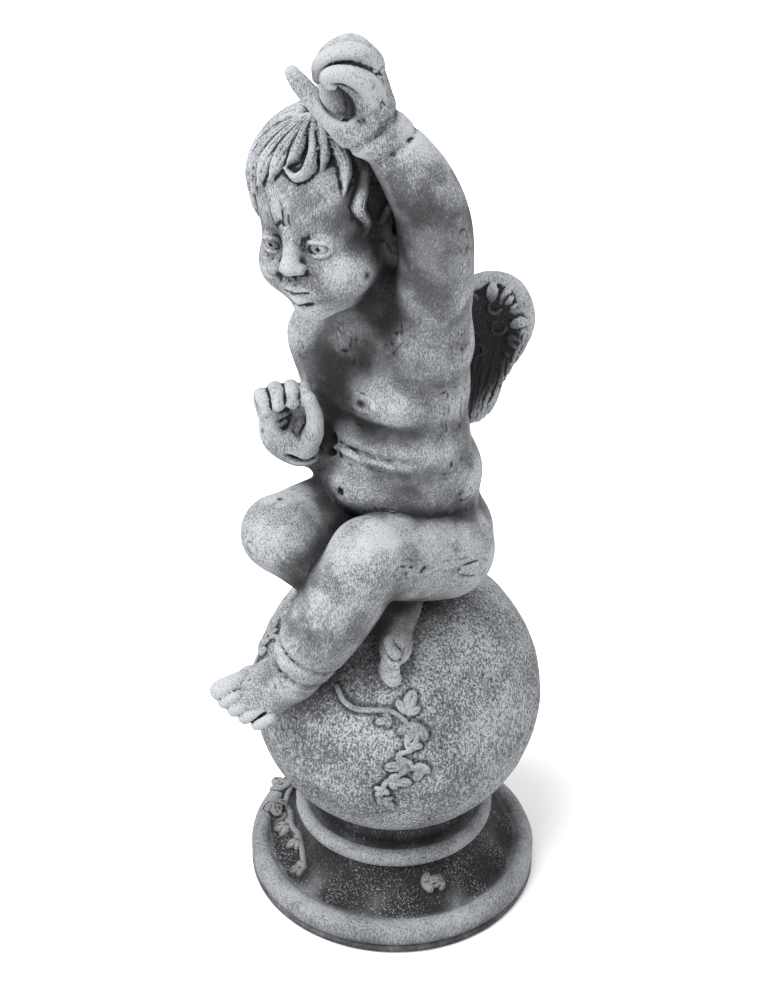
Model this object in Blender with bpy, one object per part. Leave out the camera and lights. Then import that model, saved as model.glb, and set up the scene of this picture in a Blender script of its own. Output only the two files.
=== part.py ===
"""Angel figurine: a winged child sitting cross-legged on a ball on a round turned foot, cast in one piece.

Metres, +Z up. The origin is at the middle of the underside.
The child faces -Y, with its left arm on the +X side.
The child and the ivy are modelled like clay: rounded shapes are pressed together in a grid
of distances, and the grid is skinned. The ball is a sphere, and the foot is a turned profile.
"""

import math

import bpy
import numpy as np

# Driving sizes of the turned foot and the ball, in metres.
FOOT_RADIUS = 0.0813
FOOT_HEIGHT = 0.0185
RIM_WIDTH = 0.0110
DISH_DEPTH = 0.0030
WAIST_RADIUS = 0.0475
WAIST_HEIGHT = 0.0375
COLLAR_RADIUS = 0.0558
COLLAR_THICKNESS = 0.0105
NECK_RADIUS = 0.0432
NECK_LENGTH = 0.0085
BALL_RADIUS = 0.0786
# From the top of the ball to the top of the raised hand.
CHILD_HEIGHT = 0.2960
# How far each lump of ivy stands proud.
IVY_RELIEF = 0.0024

# How finely the clay is sampled, and how many triangles it keeps.
CLAY_PITCH = 0.0016
CHILD_TRIANGLES = 5240
IVY_TRIANGLES = 700
TURNED_STEPS = 40
BALL_SEGMENTS = 36

# Worked out from the sizes above.
DISH_RADIUS = FOOT_RADIUS - RIM_WIDTH
COLLAR_TOP = WAIST_HEIGHT + COLLAR_THICKNESS
BALL_SINK = BALL_RADIUS - math.sqrt(BALL_RADIUS**2 - NECK_RADIUS**2)
BALL_CENTRE = COLLAR_TOP + NECK_LENGTH + BALL_RADIUS - BALL_SINK
SEAT_HEIGHT = BALL_CENTRE + BALL_RADIUS

# The child's own unit: a 296th of its height, which is 1 mm at the real size.
UNIT = CHILD_HEIGHT / 296.0
MM = 0.001
FAR = 1000.0

# Joints of the child, in its own units from the seat (the top of the ball).
PELVIS = (2, 5, 27)
BELLY = (0, 2, 62)
CHEST = (-5, -3, 111)
NECK = (-10, -8, 143)
HEAD = (-19, -37, 208)
LEFT_SHOULDER = (20, -5, 143)
LEFT_ELBOW = (33.5, -21, 212)
LEFT_FOREARM = (28, -28, 235)
LEFT_WRIST = (14, -40, 260.5)
RIGHT_SHOULDER = (-46, -8, 124)
RIGHT_ELBOW = (-41, 0, 62)
RIGHT_WRIST = (-27, -46, 82)
LEFT_HIP = (27, 2, 24)
LEFT_KNEE = (29, -56, 46)
LEFT_ANKLE = (-2, -77.5, -30)
RIGHT_HIP = (-23, 2, 24)
RIGHT_KNEE = (-18.5, -70, 45)
RIGHT_ANKLE = (24, -35, 2)

# Degrees. The hands and feet are laid out in a frame turned half to the child's left.
HALF_LEFT = 42.0
HEAD_TURN, HEAD_NOD, HEAD_LEAN = 12.0, 6.0, 9.0

# The skull in the head's own frame: x to its left, y to its back, z up.
SKULL_CENTRE = (0, 7, 11)
SKULL_RADII = (34, 37.5, 34.5)

# Locks seen from the front: places on the skull as (degrees round from the brow, degrees of rise),
# then the width.
LOCKS = (
    (((68, 78), (82, 52), (87, 28), (79, 5)), 11),
    (((82, 74), (99, 44), (106, 20), (97, -2)), 12),
    (((56, 76), (67, 48), (71, 26), (62, 8)), 9),
    (((46, 78), (53, 54), (55, 33), (48, 12)), 8),
    (((40, 80), (42, 62), (41, 46), (34, 33)), 7),
    (((-36, 76), (-54, 46), (-60, 20), (-53, -8)), 11),
    (((-16, 78), (-36, 54), (-44, 32), (-38, 10)), 10),
    (((0, 80), (-16, 58), (-26, 38), (-28, 18)), 9),
    (((14, 80), (0, 56), (-8, 36), (-13, 14)), 9),
    (((22, 80), (14, 60), (10, 44), (2, 34)), 7),
    (((32, 80), (29, 62), (29, 47), (22, 34), (11, 30), (-1, 37)), 6),
    (((64, 12), (58, 0), (52, -9), (57, -20), (55, -31)), 4),
    (((92, 34), (110, 6), (117, -14), (106, -32)), 11),
)
# Other locks in tiers: first and last degrees round, how many, rise at top and tip,
# lift off the skull, and width.
LOCK_TIERS = (
    (-62, -122, 5, 44, -22, 0.0, 12),
    (118, 242, 8, 0, -62, 0.5, 13),
    (114, 246, 8, 26, -38, 1.5, 13),
    (107, 239, 8, 50, -8, 2.2, 14),
    (-54, -116, 4, 78, 14, 1.6, 12),
    (114, 230, 7, 80, 16, 2.4, 14),
)
LOCK_THICK = 4.4

EYE_RADIUS = 6.8
LID = 0.9


def vec(*values):
    """A point or direction as an array."""
    return np.array(values, float)


def unit(direction):
    """A direction at length one."""
    direction = np.asarray(direction, float)
    return direction / np.linalg.norm(direction)


def units(directions):
    """Rows of directions at length one."""
    return directions / np.linalg.norm(directions, axis=1)[:, None]


def between(start, end, share):
    """The point at a share of the way from start to end."""
    return np.asarray(start, float) * (1 - share) + np.asarray(end, float) * share


def frame_from(forward, up):
    """Axes as columns: y against forward, z as near up as that allows, and x to the left."""
    back = -unit(forward)
    side = unit(np.cross(back, np.asarray(up, float)))
    return np.stack([side, back, np.cross(side, back)], axis=1)


def heading(turn, rise):
    """A direction from the degrees that it turns from -Y towards +X, and the degrees that it rises."""
    turn, rise = math.radians(turn), math.radians(rise)
    return vec(math.sin(turn) * math.cos(rise), -math.cos(turn) * math.cos(rise), math.sin(rise))


HALF_LEFT_AXES = frame_from(heading(HALF_LEFT, 0), (0, 0, 1))


class Place:
    """A local place: an origin and three axes."""

    def __init__(self, origin, axes):
        self.origin = np.asarray(origin, float)
        self.axes = np.asarray(axes, float)

    def at(self, *point):
        """A local point in the frame around it."""
        return self.origin + self.axes @ np.asarray(point, float)

    def all_at(self, points):
        return [self.at(*point) for point in points]


class Shape:
    """A distance function with the box that holds its surface."""

    def __init__(self, distance, low, high):
        self.distance = distance
        self.low = np.asarray(low, float)
        self.high = np.asarray(high, float)


def ellipsoid(centre, radii, axes=None):
    """A ball stretched to three radii along its own axes."""
    centre = np.asarray(centre, float)
    axes = np.eye(3) if axes is None else np.asarray(axes, float)
    radii = np.asarray(radii, float) * np.ones(3)

    def distance(x, y, z):
        far, steep = 0.0, 0.0
        for axis, radius in zip(axes.T, radii):
            along = axis[0] * (x - centre[0]) + axis[1] * (y - centre[1]) + axis[2] * (z - centre[2])
            far = far + (along / radius) ** 2
            steep = steep + (along / radius**2) ** 2
        far = np.sqrt(far)
        return far * (far - 1.0) / np.sqrt(steep + 1e-9)

    reach = np.sqrt(((axes * radii) ** 2).sum(axis=1))
    return Shape(distance, centre - reach, centre + reach)


def limb(start, end, start_radius, end_radius, bulge=0.0):
    """A tapered rod with round ends, which may bulge between them."""
    start, end = np.asarray(start, float), np.asarray(end, float)
    span = end - start
    length2 = float(span @ span) + 1e-9
    most = max(start_radius, end_radius) + abs(bulge)

    def distance(x, y, z):
        px, py, pz = x - start[0], y - start[1], z - start[2]
        share = np.clip((px * span[0] + py * span[1] + pz * span[2]) / length2, 0.0, 1.0)
        away = np.sqrt((px - span[0] * share) ** 2 + (py - span[1] * share) ** 2 + (pz - span[2] * share) ** 2)
        return away - (start_radius + (end_radius - start_radius) * share + 4.0 * bulge * share * (1.0 - share))

    return Shape(distance, np.minimum(start, end) - most, np.maximum(start, end) + most)


def curve_points(points, steps):
    """Points along a smooth curve through the given ones, with the given steps from each to the next."""
    points = [np.asarray(p, float) for p in points]
    points = [2 * points[0] - points[1], *points, 2 * points[-1] - points[-2]]
    found = []
    for a, b, c, d in zip(points, points[1:], points[2:], points[3:]):
        for t in np.arange(steps) / steps:
            found.append(0.5 * (2 * b + (c - a) * t + (2 * a - 5 * b + 4 * c - d) * t**2
                                + (3 * b - a - 3 * c + d) * t**3))
    return [*found, points[-2]]


def rod_pieces(points, radii, steps=4):
    """The short limbs that make up a rod along a smooth curve, its radius running through the given values."""
    line = curve_points(points, steps)
    widths = np.interp(np.linspace(0, 1, len(line)), np.linspace(0, 1, len(radii)), radii)
    return [limb(a, b, ra, rb) for a, b, ra, rb in zip(line, line[1:], widths, widths[1:])]


class Clay:
    """A block of clay: distances to its surface on a regular grid, negative inside."""

    def __init__(self, low, high, pitch):
        self.low = np.asarray(low, float)
        self.pitch = pitch
        self.count = np.ceil((np.asarray(high, float) - self.low) / pitch).astype(int) + 1
        self.field = np.full(self.count, FAR, np.float32)

    def window(self, shape, margin):
        """The part of the grid near a shape: slices, and the coordinates along each axis."""
        first = np.floor((shape.low - margin - self.low) / self.pitch).astype(int).clip(0, self.count)
        last = np.ceil((shape.high + margin - self.low) / self.pitch).astype(int).clip(0, self.count) + 1
        slices = tuple(slice(a, b) for a, b in zip(first, last))
        axes = [
            (self.low[i] + self.pitch * np.arange(self.count[i])[slices[i]]).astype(np.float32)
            for i in range(3)
        ]
        return slices, (axes[0][:, None, None], axes[1][None, :, None], axes[2][None, None, :])

    def join(self, slices, new, blend):
        """Presses distances on, with a fillet of about blend."""
        old = self.field[slices]
        joined = np.minimum(old, new)
        if blend:
            joined -= np.maximum(blend - np.abs(old - new), 0.0) ** 2 / (4 * blend)
        self.field[slices] = joined

    def carve(self, slices, new, blend):
        """Takes distances away, with the edge rounded by about blend."""
        old = self.field[slices]
        left = np.maximum(old, -new)
        if blend:
            left += np.maximum(blend - np.abs(old + new), 0.0) ** 2 / (4 * blend)
        self.field[slices] = left

    def add(self, shape, blend=0.0):
        slices, points = self.window(shape, blend + 3 * self.pitch)
        self.join(slices, shape.distance(*points), blend)

    def cut(self, shape, blend=0.0):
        slices, points = self.window(shape, blend + 3 * self.pitch)
        self.carve(slices, shape.distance(*points), blend)

    def bundle(self, pieces, margin):
        """Several shapes joined with no fillet between them: slices of the grid, and distances there."""
        low = np.min([piece.low for piece in pieces], axis=0)
        high = np.max([piece.high for piece in pieces], axis=0)
        slices, _ = self.window(Shape(None, low, high), margin)
        mass = np.full(self.field[slices].shape, FAR, np.float32)
        for piece in pieces:
            inner, points = self.window(piece, margin)
            local = tuple(slice(i.start - s.start, i.stop - s.start) for i, s in zip(inner, slices))
            mass[local] = np.minimum(mass[local], piece.distance(*points))
        return slices, mass

    def add_all(self, pieces, blend=0.0):
        """Presses on several shapes as one."""
        self.join(*self.bundle(pieces, blend + 3 * self.pitch), blend)

    def rod(self, points, radii, blend=0.0, steps=4):
        """Adds a rod along a smooth curve."""
        self.add_all(rod_pieces(points, radii, steps), blend)

    def blank(self, low, high):
        """An empty block over a part of the same grid."""
        slices, points = self.window(Shape(None, low, high), 0.0)
        block = Clay(self.low, self.low, self.pitch)
        block.low = vec(*(axis.min() for axis in points))
        starts = [s.start for s in slices]
        block.count = np.array([s.stop - s.start for s in slices]).clip(0, self.count - starts)
        block.field = np.full(block.count, FAR, np.float32)
        return block

    def press(self, other, blend=0.0):
        """Presses another block of the same grid into this one."""
        first = np.rint((other.low - self.low) / self.pitch).astype(int)
        self.join(tuple(slice(a, a + n) for a, n in zip(first, other.count)), other.field, blend)


def close_pinches(field):
    """Fills grid faces whose corners are in and out by turns, so that no skin edge is shared by four faces."""
    for _ in range(12):
        inside = field < 0
        found = False
        for axis in range(3):
            flat = np.moveaxis(field, axis, 0)
            i = np.moveaxis(inside, axis, 0)
            a, b, c, d = i[:, :-1, :-1], i[:, 1:, :-1], i[:, :-1, 1:], i[:, 1:, 1:]
            n, j, k = np.nonzero((a == d) & (b == c) & (a != b))
            found = found or len(n) > 0
            for dj in (0, 1):
                for dk in (0, 1):
                    corner = flat[n, j + dj, k + dk]
                    flat[n, j + dj, k + dk] = np.where(corner >= 0, -1e-3, corner)
        if not found:
            return


CORNERS = np.array([(i, j, k) for i in (0, 1) for j in (0, 1) for k in (0, 1)])


def skin(clay):
    """The clay's surface as points and four-sided faces, one point in each grid cell that it crosses."""
    field = clay.field
    close_pinches(field)
    inside = field < 0
    ends = (slice(None, -1), slice(1, None))
    full = sum(inside[ends[i], ends[j], ends[k]].astype(np.int8) for i, j, k in CORNERS)
    where = np.nonzero((full > 0) & (full < 8))
    index = np.full(full.shape, -1, np.int32)
    index[where] = np.arange(len(where[0]))
    values = [field[where[0] + i, where[1] + j, where[2] + k] for i, j, k in CORNERS]
    total, hits = np.zeros((len(where[0]), 3)), np.zeros(len(where[0]))
    for a in range(8):
        for b in range(a + 1, 8):
            if np.abs(CORNERS[a] - CORNERS[b]).sum() != 1:
                continue
            across = (values[a] < 0) != (values[b] < 0)
            drop = np.where(across, values[a] - values[b], 1.0)
            share = np.where(across, values[a] / drop, 0.0)[:, None]
            total += across[:, None] * (CORNERS[a] + share * (CORNERS[b] - CORNERS[a]))
            hits += across
    points = np.stack(where, axis=1) + total / hits[:, None]
    faces = []
    for axis in range(3):
        i = np.moveaxis(inside, axis, 0)
        cell = np.moveaxis(index, axis, 0)
        n, j, k = np.nonzero(i[:-1, 1:-1, 1:-1] != i[1:, 1:-1, 1:-1])
        quad = np.stack([cell[n, j, k], cell[n, j + 1, k], cell[n, j + 1, k + 1], cell[n, j, k + 1]], axis=1)
        outward = i[:-1, 1:-1, 1:-1][n, j, k]
        turned = ~outward if axis != 1 else outward
        quad[turned] = quad[turned][:, ::-1]
        faces.append(quad)
    return clay.low + points * clay.pitch, np.concatenate(faces)


def torso(clay):
    """Pelvis, belly, chest and back of a plump child."""
    lean = frame_from((0, -1, -0.05), (-0.12, 0, 1))
    clay.add(ellipsoid(PELVIS, (43, 37, 30)))
    for side in (-1, 1):
        clay.add(ellipsoid((1 + 18 * side, 13, 22), (23, 24, 25)), 10)
    clay.add(ellipsoid(BELLY, (41, 37, 30)), 12)
    clay.add(ellipsoid(CHEST, (41, 34, 36), lean), 16)
    clay.add(ellipsoid((-3, -5, 84), (38.5, 31.5, 16), lean), 14)
    clay.add(ellipsoid((-8, 4, 128), (37, 26, 20), frame_from((0, -1, 0), (-0.35, 0, 1))), 14)
    # The chest is full, and the round belly hangs over the lap.
    for side in (-1, 1):
        clay.add(ellipsoid((-7 + 17 * side, -22, 115 + 2 * side), (20, 15, 17), lean), 8)
    clay.add(ellipsoid((0, -13, 62), (39, 31.5, 18)), 5)
    clay.cut(ellipsoid((-3, -46, 64), (2.6, 5, 2.4)), 2)


def neck_and_shoulders(clay, head):
    """A short neck that swells into the shoulders and the nape."""
    clay.add(limb(NECK, head.at(0, 8, -30), 22, 20), 8)
    clay.add(limb((-10, 9, 134), head.at(0, 14, -30), 21, 16), 12)
    clay.add(ellipsoid(between(NECK, CHEST, 0.1), (34, 24, 14), frame_from((0, -1, 0), (-0.3, 0, 1))), 12)
    clay.add(limb((-10, -2, 138), LEFT_SHOULDER, 17, 16), 12)
    clay.add(limb((-12, -4, 134), RIGHT_SHOULDER, 17, 18), 10)


def hand(clay, place, palm, fingers, thumb, blend=2.5):
    """A chubby hand: a palm as (centre, radii, axes), and fingers and a thumb as curves with their radii."""
    centre, radii, axes = palm
    clay.add(ellipsoid(place.at(*centre), radii, axes), 6)
    for points, thick in fingers:
        clay.rod(place.all_at(points), thick, blend)
    points, thick = thumb
    clay.rod(place.all_at(points), thick, 3)


def left_arm(clay):
    """The raised arm, bent over the head, with the hand hanging forwards from it."""
    upper_arm = between(LEFT_SHOULDER, LEFT_ELBOW, 0.5) + vec(1.5, 0, 0)
    line = [LEFT_SHOULDER, upper_arm, LEFT_ELBOW, LEFT_FOREARM, LEFT_WRIST]
    clay.rod(line, [17.5, 18.2, 17.2, 15.8, 11.5], 14, 16)
    place = Place(LEFT_WRIST, HALF_LEFT_AXES)
    reach = place.axes @ unit((-0.25, 0.08, 0.97))
    palm = ((-3.5, 4, 12), (16, 10, 18), frame_from(place.axes @ vec(-0.97, 0, -0.25), reach))
    fingers = [
        (((-2, -6, 13), (-5, -10.5, 22), (-14, -12.5, 26.5), (-21, -12.5, 25), (-20, -12, 20)),
         (6.0, 5.0, 4.0, 3.6, 3.1)),
        (((-2, -1, 26), (-9, -5, 33), (-17, -6, 33), (-24, -5, 28), (-25, -4, 22)), (5.6, 5.0, 4.4, 4.0, 3.3)),
        (((-3, 7, 26), (-10, 6, 33), (-17, 5, 32.5), (-23, 5, 27), (-24, 5, 19)), (5.6, 5.0, 4.4, 4.0, 3.4)),
        (((-2, 15, 22), (-10, 15, 28), (-17, 14, 26), (-22, 14, 20), (-22, 13, 14)), (5.2, 4.6, 4.2, 3.8, 3.2)),
    ]
    thumb = (((-1, -6, -6), (-9, -8.5, -3), (-17, -10.5, 4), (-25, -11.5, 12),
              (-33, -11.5, 21.5), (-36.5, -10.5, 26)),
             (9.0, 7.6, 6.0, 4.9, 4.2, 3.2))
    clay.add(ellipsoid(place.at(-11, 2, 24), (12, 14.5, 10.5), place.axes), 4)
    hand(clay, place, palm, fingers, thumb, 1.2)
    # The far side of the cupped hand closes it behind the thumb, and the palm is hollow.
    clay.add(ellipsoid(place.at(-15, 13, 10), (12, 4.5, 14), place.axes), 4)
    hollow = frame_from(place.axes @ vec(0, -1, 0), place.axes @ vec(-0.72, 0, 0.69))
    clay.cut(ellipsoid(place.at(-17, -9, 12.5), (5.5, 14, 9.5), hollow), 1.8)


def right_arm(clay):
    """The lowered arm, bent forwards at the elbow, with the open hand held up."""
    clay.add(limb(RIGHT_SHOULDER, RIGHT_ELBOW, 18.5, 14.5, 1.0), 10)
    clay.add(limb(RIGHT_ELBOW, RIGHT_WRIST, 15, 10.5, 1.0), 8)
    place = Place(RIGHT_WRIST, HALF_LEFT_AXES)
    palm = ((-8, -1, 11), (13.5, 8, 18), place.axes)
    fingers = [
        (((-18, -2, 19), (-19.5, -5, 30), (-18, -12, 33), (-16.5, -15, 28)), (4.2, 4.1, 3.8, 3.2)),
        (((-12, -1, 22), (-13, -4, 33), (-11.5, -11, 36), (-10.5, -15, 31)), (4.4, 4.3, 4.0, 3.4)),
        (((-5, -1, 23), (-5.5, -4, 34), (-4.5, -10, 37), (-4, -14, 32)), (4.4, 4.3, 4.0, 3.4)),
        (((1, -1, 21), (1.5, -3, 32), (1, -8, 36), (0, -11, 33)), (4.4, 4.2, 3.8, 3.2)),
    ]
    thumb = (((1, -5, 1), (6, -9, 12), (7, -11, 22), (4.5, -12, 33)), (6.5, 5.2, 4.2, 3.4))
    hand(clay, place, palm, fingers, thumb, 0.8)
    clay.cut(ellipsoid(place.at(-7, -12, 20), (7.5, 8, 10.5), place.axes), 2.5)


def foot(clay, ankle, forward, up, size):
    """A plump foot from its ankle, at a size, with its little toe on the frame's x side."""
    axes = frame_from(forward, up)
    place = Place(ankle, size * axes)
    clay.add(ellipsoid(place.at(0, 5, -8), size * vec(12, 13, 11), axes), 6)
    clay.add(ellipsoid(place.at(0, -13, -6), size * vec(14, 19, 9.5), axes), 6)
    clay.add(ellipsoid(place.at(0, -22, -8), size * vec(15.5, 9, 8), axes), 5)
    for k, (reach, thick) in enumerate(((38, 5.2), (38, 4.0), (36, 3.8), (33, 3.6), (29, 3.4))):
        x = -10.8 + 6.1 * k
        points = place.all_at([(x * 0.85, -20, -6), (x, 8 - reach, -3.2), (x, 3 - reach, -5), (x, -reach, -8)])
        clay.rod(points, [size * thick, 0.9 * size * thick, size * thick, size * thick], 0.5)


def legs(clay):
    """Crossed legs: the left shin lies in front of the right one."""
    clay.add(limb(RIGHT_HIP, RIGHT_KNEE, 26, 19, 1.5), 5)
    clay.add(limb(RIGHT_KNEE, RIGHT_ANKLE, 18, 12, 3.0), 5)
    down = HALF_LEFT_AXES @ vec(-0.12, -0.75, -0.65)
    foot(clay, RIGHT_ANKLE, down, HALF_LEFT_AXES @ vec(-1, 0, 0), 0.88)
    other = clay.blank((-60, -125, -70), (75, 40, 80))
    other.add(limb(LEFT_HIP, LEFT_KNEE, 27, 20, 1.5))
    other.add(limb(LEFT_KNEE, LEFT_ANKLE, 19, 14, 4.0), 3.5)
    outwards = HALF_LEFT_AXES @ vec(-0.87, -0.3, -0.4)
    foot(other, LEFT_ANKLE, outwards, HALF_LEFT_AXES @ vec(0, -0.8, 0.6), 1)
    clay.press(other, 2.5)


def head_place():
    """The head looks a little to its left and down, and leans to its right."""
    lean = math.radians(HEAD_LEAN)
    return Place(HEAD, frame_from(heading(HEAD_TURN, -HEAD_NOD), (-math.sin(lean), 0, math.cos(lean))))


def face(clay, head):
    """A calm infant's face: high brow, eyes below the middle of the head, short nose, full cheeks, small chin."""
    axes = head.axes
    clay.add(ellipsoid(head.at(*SKULL_CENTRE), SKULL_RADII, axes), 3)
    clay.add(ellipsoid(head.at(0, -8, -14), (28, 25, 28), axes), 10)
    clay.add(ellipsoid(head.at(0, -14, -35), (17, 15, 9), axes), 6)
    for side in (-1, 1):
        clay.add(ellipsoid(head.at(15 * side, -17, -20), (14, 13, 13), axes), 8)
        clay.cut(ellipsoid(head.at(12.5 * side, -37, -2.5), (9, 7, 5.5), axes), 6)
    clay.add(limb(head.at(0, -30.5, 2), head.at(0, -34.5, -9), 2.6, 3.4), 5)
    clay.add(ellipsoid(head.at(0, -36.6, -11.5), (4.3, 4.0, 3.8), axes), 3)
    for side in (-1, 1):
        clay.add(ellipsoid(head.at(4.3 * side, -34.0, -13), (2.7, 3.4, 2.5), axes), 2)
        clay.add(ellipsoid(head.at(12.5 * side, -23.8, -3.8), EYE_RADIUS + LID, axes), 1.5)
    clay.add(ellipsoid(head.at(0, -27, -25), (12, 8, 8), axes), 5)
    clay.rod(head.all_at([(-8, -30.8, -25.8), (-3.4, -34.2, -23.2), (0, -34.3, -23.8), (3.4, -34.2, -23.2),
                          (8, -30.8, -25.8)]), [0.8, 2.0, 1.6, 2.0, 0.8], 1.2)
    clay.rod(head.all_at([(-6.5, -31.2, -27), (0, -33.9, -29), (6.5, -31.2, -27)]), [1.0, 2.5, 1.0], 1.5)
    clay.add(ellipsoid(head.at(0, -24.5, -36.5), (8.5, 8, 7.5), axes), 5)


def ears(clay, head):
    for side in (-1, 1):
        clay.add(ellipsoid(head.at(33 * side, 3, -6), (4.5, 7.5, 10.5), head.axes), 3)
        rim = [(33.5, -5, 0), (37, -1, 6), (39, 6, 6), (39.5, 10.5, -1), (37.5, 8, -10), (34, 1, -16)]
        clay.rod(head.all_at([(side * x, y, z) for x, y, z in rim]), [1.8, 2.2, 2.4, 2.4, 2.4, 3.4], 1.2)
        clay.cut(ellipsoid(head.at(39.5 * side, 2, -5), (4, 4.2, 6), head.axes), 1.5)


def skull_point(head, turn, rise, lift=0.0):
    """A point over the skull, from degrees round from the brow towards the left ear, and degrees of rise."""
    return head.at(*(vec(*SKULL_CENTRE) + (vec(*SKULL_RADII) + lift) * heading(turn, rise)))


def lock(clay, head, places, width, lift=0.0):
    """A lock laid over the skull along a line: crowned, and drawn out to a point."""
    line = np.array(curve_points([skull_point(head, turn, rise) for turn, rise in places], 4))
    out = units(line - head.at(*SKULL_CENTRE))
    slices, (x, y, z) = clay.window(Shape(None, line.min(axis=0), line.max(axis=0)), 0.6 * width + 5)
    shape = clay.field[slices].shape
    nearest, share, across, rise = (np.full(shape, value, np.float32) for value in (FAR**2, 0, 0, 0))
    for k in range(len(line) - 1):
        tangent = unit(line[k + 1] - line[k])
        side = unit(np.cross(tangent, out[k] + out[k + 1]))
        length = np.linalg.norm(line[k + 1] - line[k])
        along, apart, above = (
            (x - line[k][0]) * axis[0] + (y - line[k][1]) * axis[1] + (z - line[k][2]) * axis[2]
            for axis in (tangent, side, np.cross(side, tangent))
        )
        part = np.clip(along / length, 0, 1)
        away = (along - part * length) ** 2 + apart**2
        near = away < nearest
        nearest[near] = away[near]
        share[near] = (k + part[near]) / (len(line) - 1)
        across[near] = apart[near]
        rise[near] = above[near]
    across = np.sqrt(nearest) * np.sign(across)
    half = 0.5 * width * np.interp(share, (0, 0.15, 0.5, 0.8, 1), (0.4, 0.75, 1.0, 0.72, 0.06))
    part = np.clip(across / half, -1, 1)
    thick = LOCK_THICK * np.interp(share, (0, 0.3, 0.7, 1), (0.7, 1.0, 1.0, 0.5))
    height = lift + thick * (1 - part**2) ** 0.6 + 0.6 * part
    height -= 2.5 * np.maximum(np.abs(across) - half, 0)
    clay.join(slices, (rise - height).astype(np.float32), 0.3)


def tier_locks(first, last, count, top, tip, lift, width):
    """A row of wavy locks side by side, as (places, width, lift)."""
    found = []
    for k in range(count):
        turn = first + (last - first) * k / (count - 1)
        wave = 8 if k % 2 else 6
        places = [
            (turn + wave * math.sin(2.4 + 5.5 * share + 0.9 * k), top + (tip - top) * share)
            for share in np.linspace(0, 1, 6)
        ]
        found.append((places, width, lift))
    return found


def hair(whole, head):
    """Short hair in wavy locks from the crown, tousled over the brow and longer at the nape."""
    clay = whole.blank(head.origin - 62, head.origin + 62)
    clay.add(ellipsoid(head.at(0, 8.5, 12), (33.5, 37, 34), head.axes), 2)
    clay.add(ellipsoid(head.at(0, 15, -8), (28, 24, 26), head.axes), 5)
    for tier in LOCK_TIERS:
        for places, width, lift in tier_locks(*tier):
            lock(clay, head, places, width, lift)
    for places, width in LOCKS:
        lock(clay, head, places, width, 1.0)
    whole.press(clay, 0.5)


def wing_place(side):
    """A wing's own place: x out along it, y to its back, z up."""
    out = unit(vec(0.58 * side, 0.81, 0))
    axes = np.stack([out, np.cross((0, 0, 1), out) * side, vec(0, 0, 1)], axis=1)
    return Place(vec(-7 + 7 * side, 8, 122), axes)


WING_RIM = ((8, 0, 14), (18, 0, 32), (34, 0, 40), (49, 0, 34.5), (56, 0, 16.5), (51, 0, 0),
            (43, 0, -16), (33, 0, -34))
WING_FEATHERS = 7


def feather_line(share):
    """The middle line of a long feather in a wing's own place, from the inmost (0) to the outmost (1)."""
    return [(14 + 33 * share, 0.5, 10 - 8 * share), (19 + 26 * share, 1.5, -16 + 6 * share),
            (25 + 14 * share, 1, -44 + 20 * share)]


def wing(whole, place):
    """A short round wing, cupped to the front, with a rounded rim and long feathers down to its tip."""
    middle = place.at(30, 0, 0)
    clay = whole.blank(middle - vec(52, 52, 60), middle + vec(52, 52, 60))
    clay.add(limb(place.at(10, 0, -6), place.at(28, 0, 6), 12, 10), 6)
    clay.add(ellipsoid(place.at(36, 0, 14), (23, 6, 27), place.axes), 5)
    clay.add(ellipsoid(place.at(31, 0, -10), (15, 5.5, 31), place.axes), 5)
    clay.rod(place.all_at(WING_RIM), [3.8, 3.8, 3.8, 3.8, 3.6, 3.0, 2.4], 3, 8)
    for k in range(WING_FEATHERS):
        clay.rod(place.all_at(feather_line(k / (WING_FEATHERS - 1))), [3.4, 4.2, 2.2], 0.8)
    clay.cut(ellipsoid(place.at(34, -9.0, 9), (20, 8, 27), place.axes), 2.0)
    # Two rows of short feathers lie over the long ones on the back.
    for row, (height, count) in enumerate(((6, 5), (22, 4))):
        for k in range(count):
            share = (k + 0.5) / count
            spot = place.at(13 + 40 * share - 4 * row, 4.5 + row, height + 12 * math.sin(math.pi * share) - 6)
            tilt = frame_from(place.axes @ vec(0, 1, 0), place.axes @ vec(-0.5 + 0.75 * share, -0.16, 1))
            clay.add(ellipsoid(spot, (6.5, 2.6, 12), tilt), 0.6)
    whole.press(clay, 4)


def child_clay(pitch):
    """The whole child in clay, in its own units from the seat."""
    clay = Clay((-85, -125, -85), (85, 110, 305), pitch)
    head = head_place()
    torso(clay)
    neck_and_shoulders(clay, head)
    left_arm(clay)
    right_arm(clay)
    legs(clay)
    face(clay, head)
    ears(clay, head)
    hair(clay, head)
    for side in (1, -1):
        wing(clay, wing_place(side))
    return clay


def arc(centre, radius, first, last, steps):
    """Points (radius, height) along an arc, by the degrees of its ends: 0 points outwards, and 90 up."""
    return [
        (centre[0] + radius * math.cos(a), centre[1] + radius * math.sin(a))
        for a in np.radians(np.linspace(first, last, steps))
    ]


def cove_height(radius):
    """Height of the dished top of the foot, which sweeps up from the rim to the waist."""
    low = FOOT_HEIGHT - DISH_DEPTH
    share = (DISH_RADIUS - radius) / (DISH_RADIUS - WAIST_RADIUS)
    return low + (WAIST_HEIGHT - low) * min(max(share, 0.0), 1.0) ** 1.7


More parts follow.
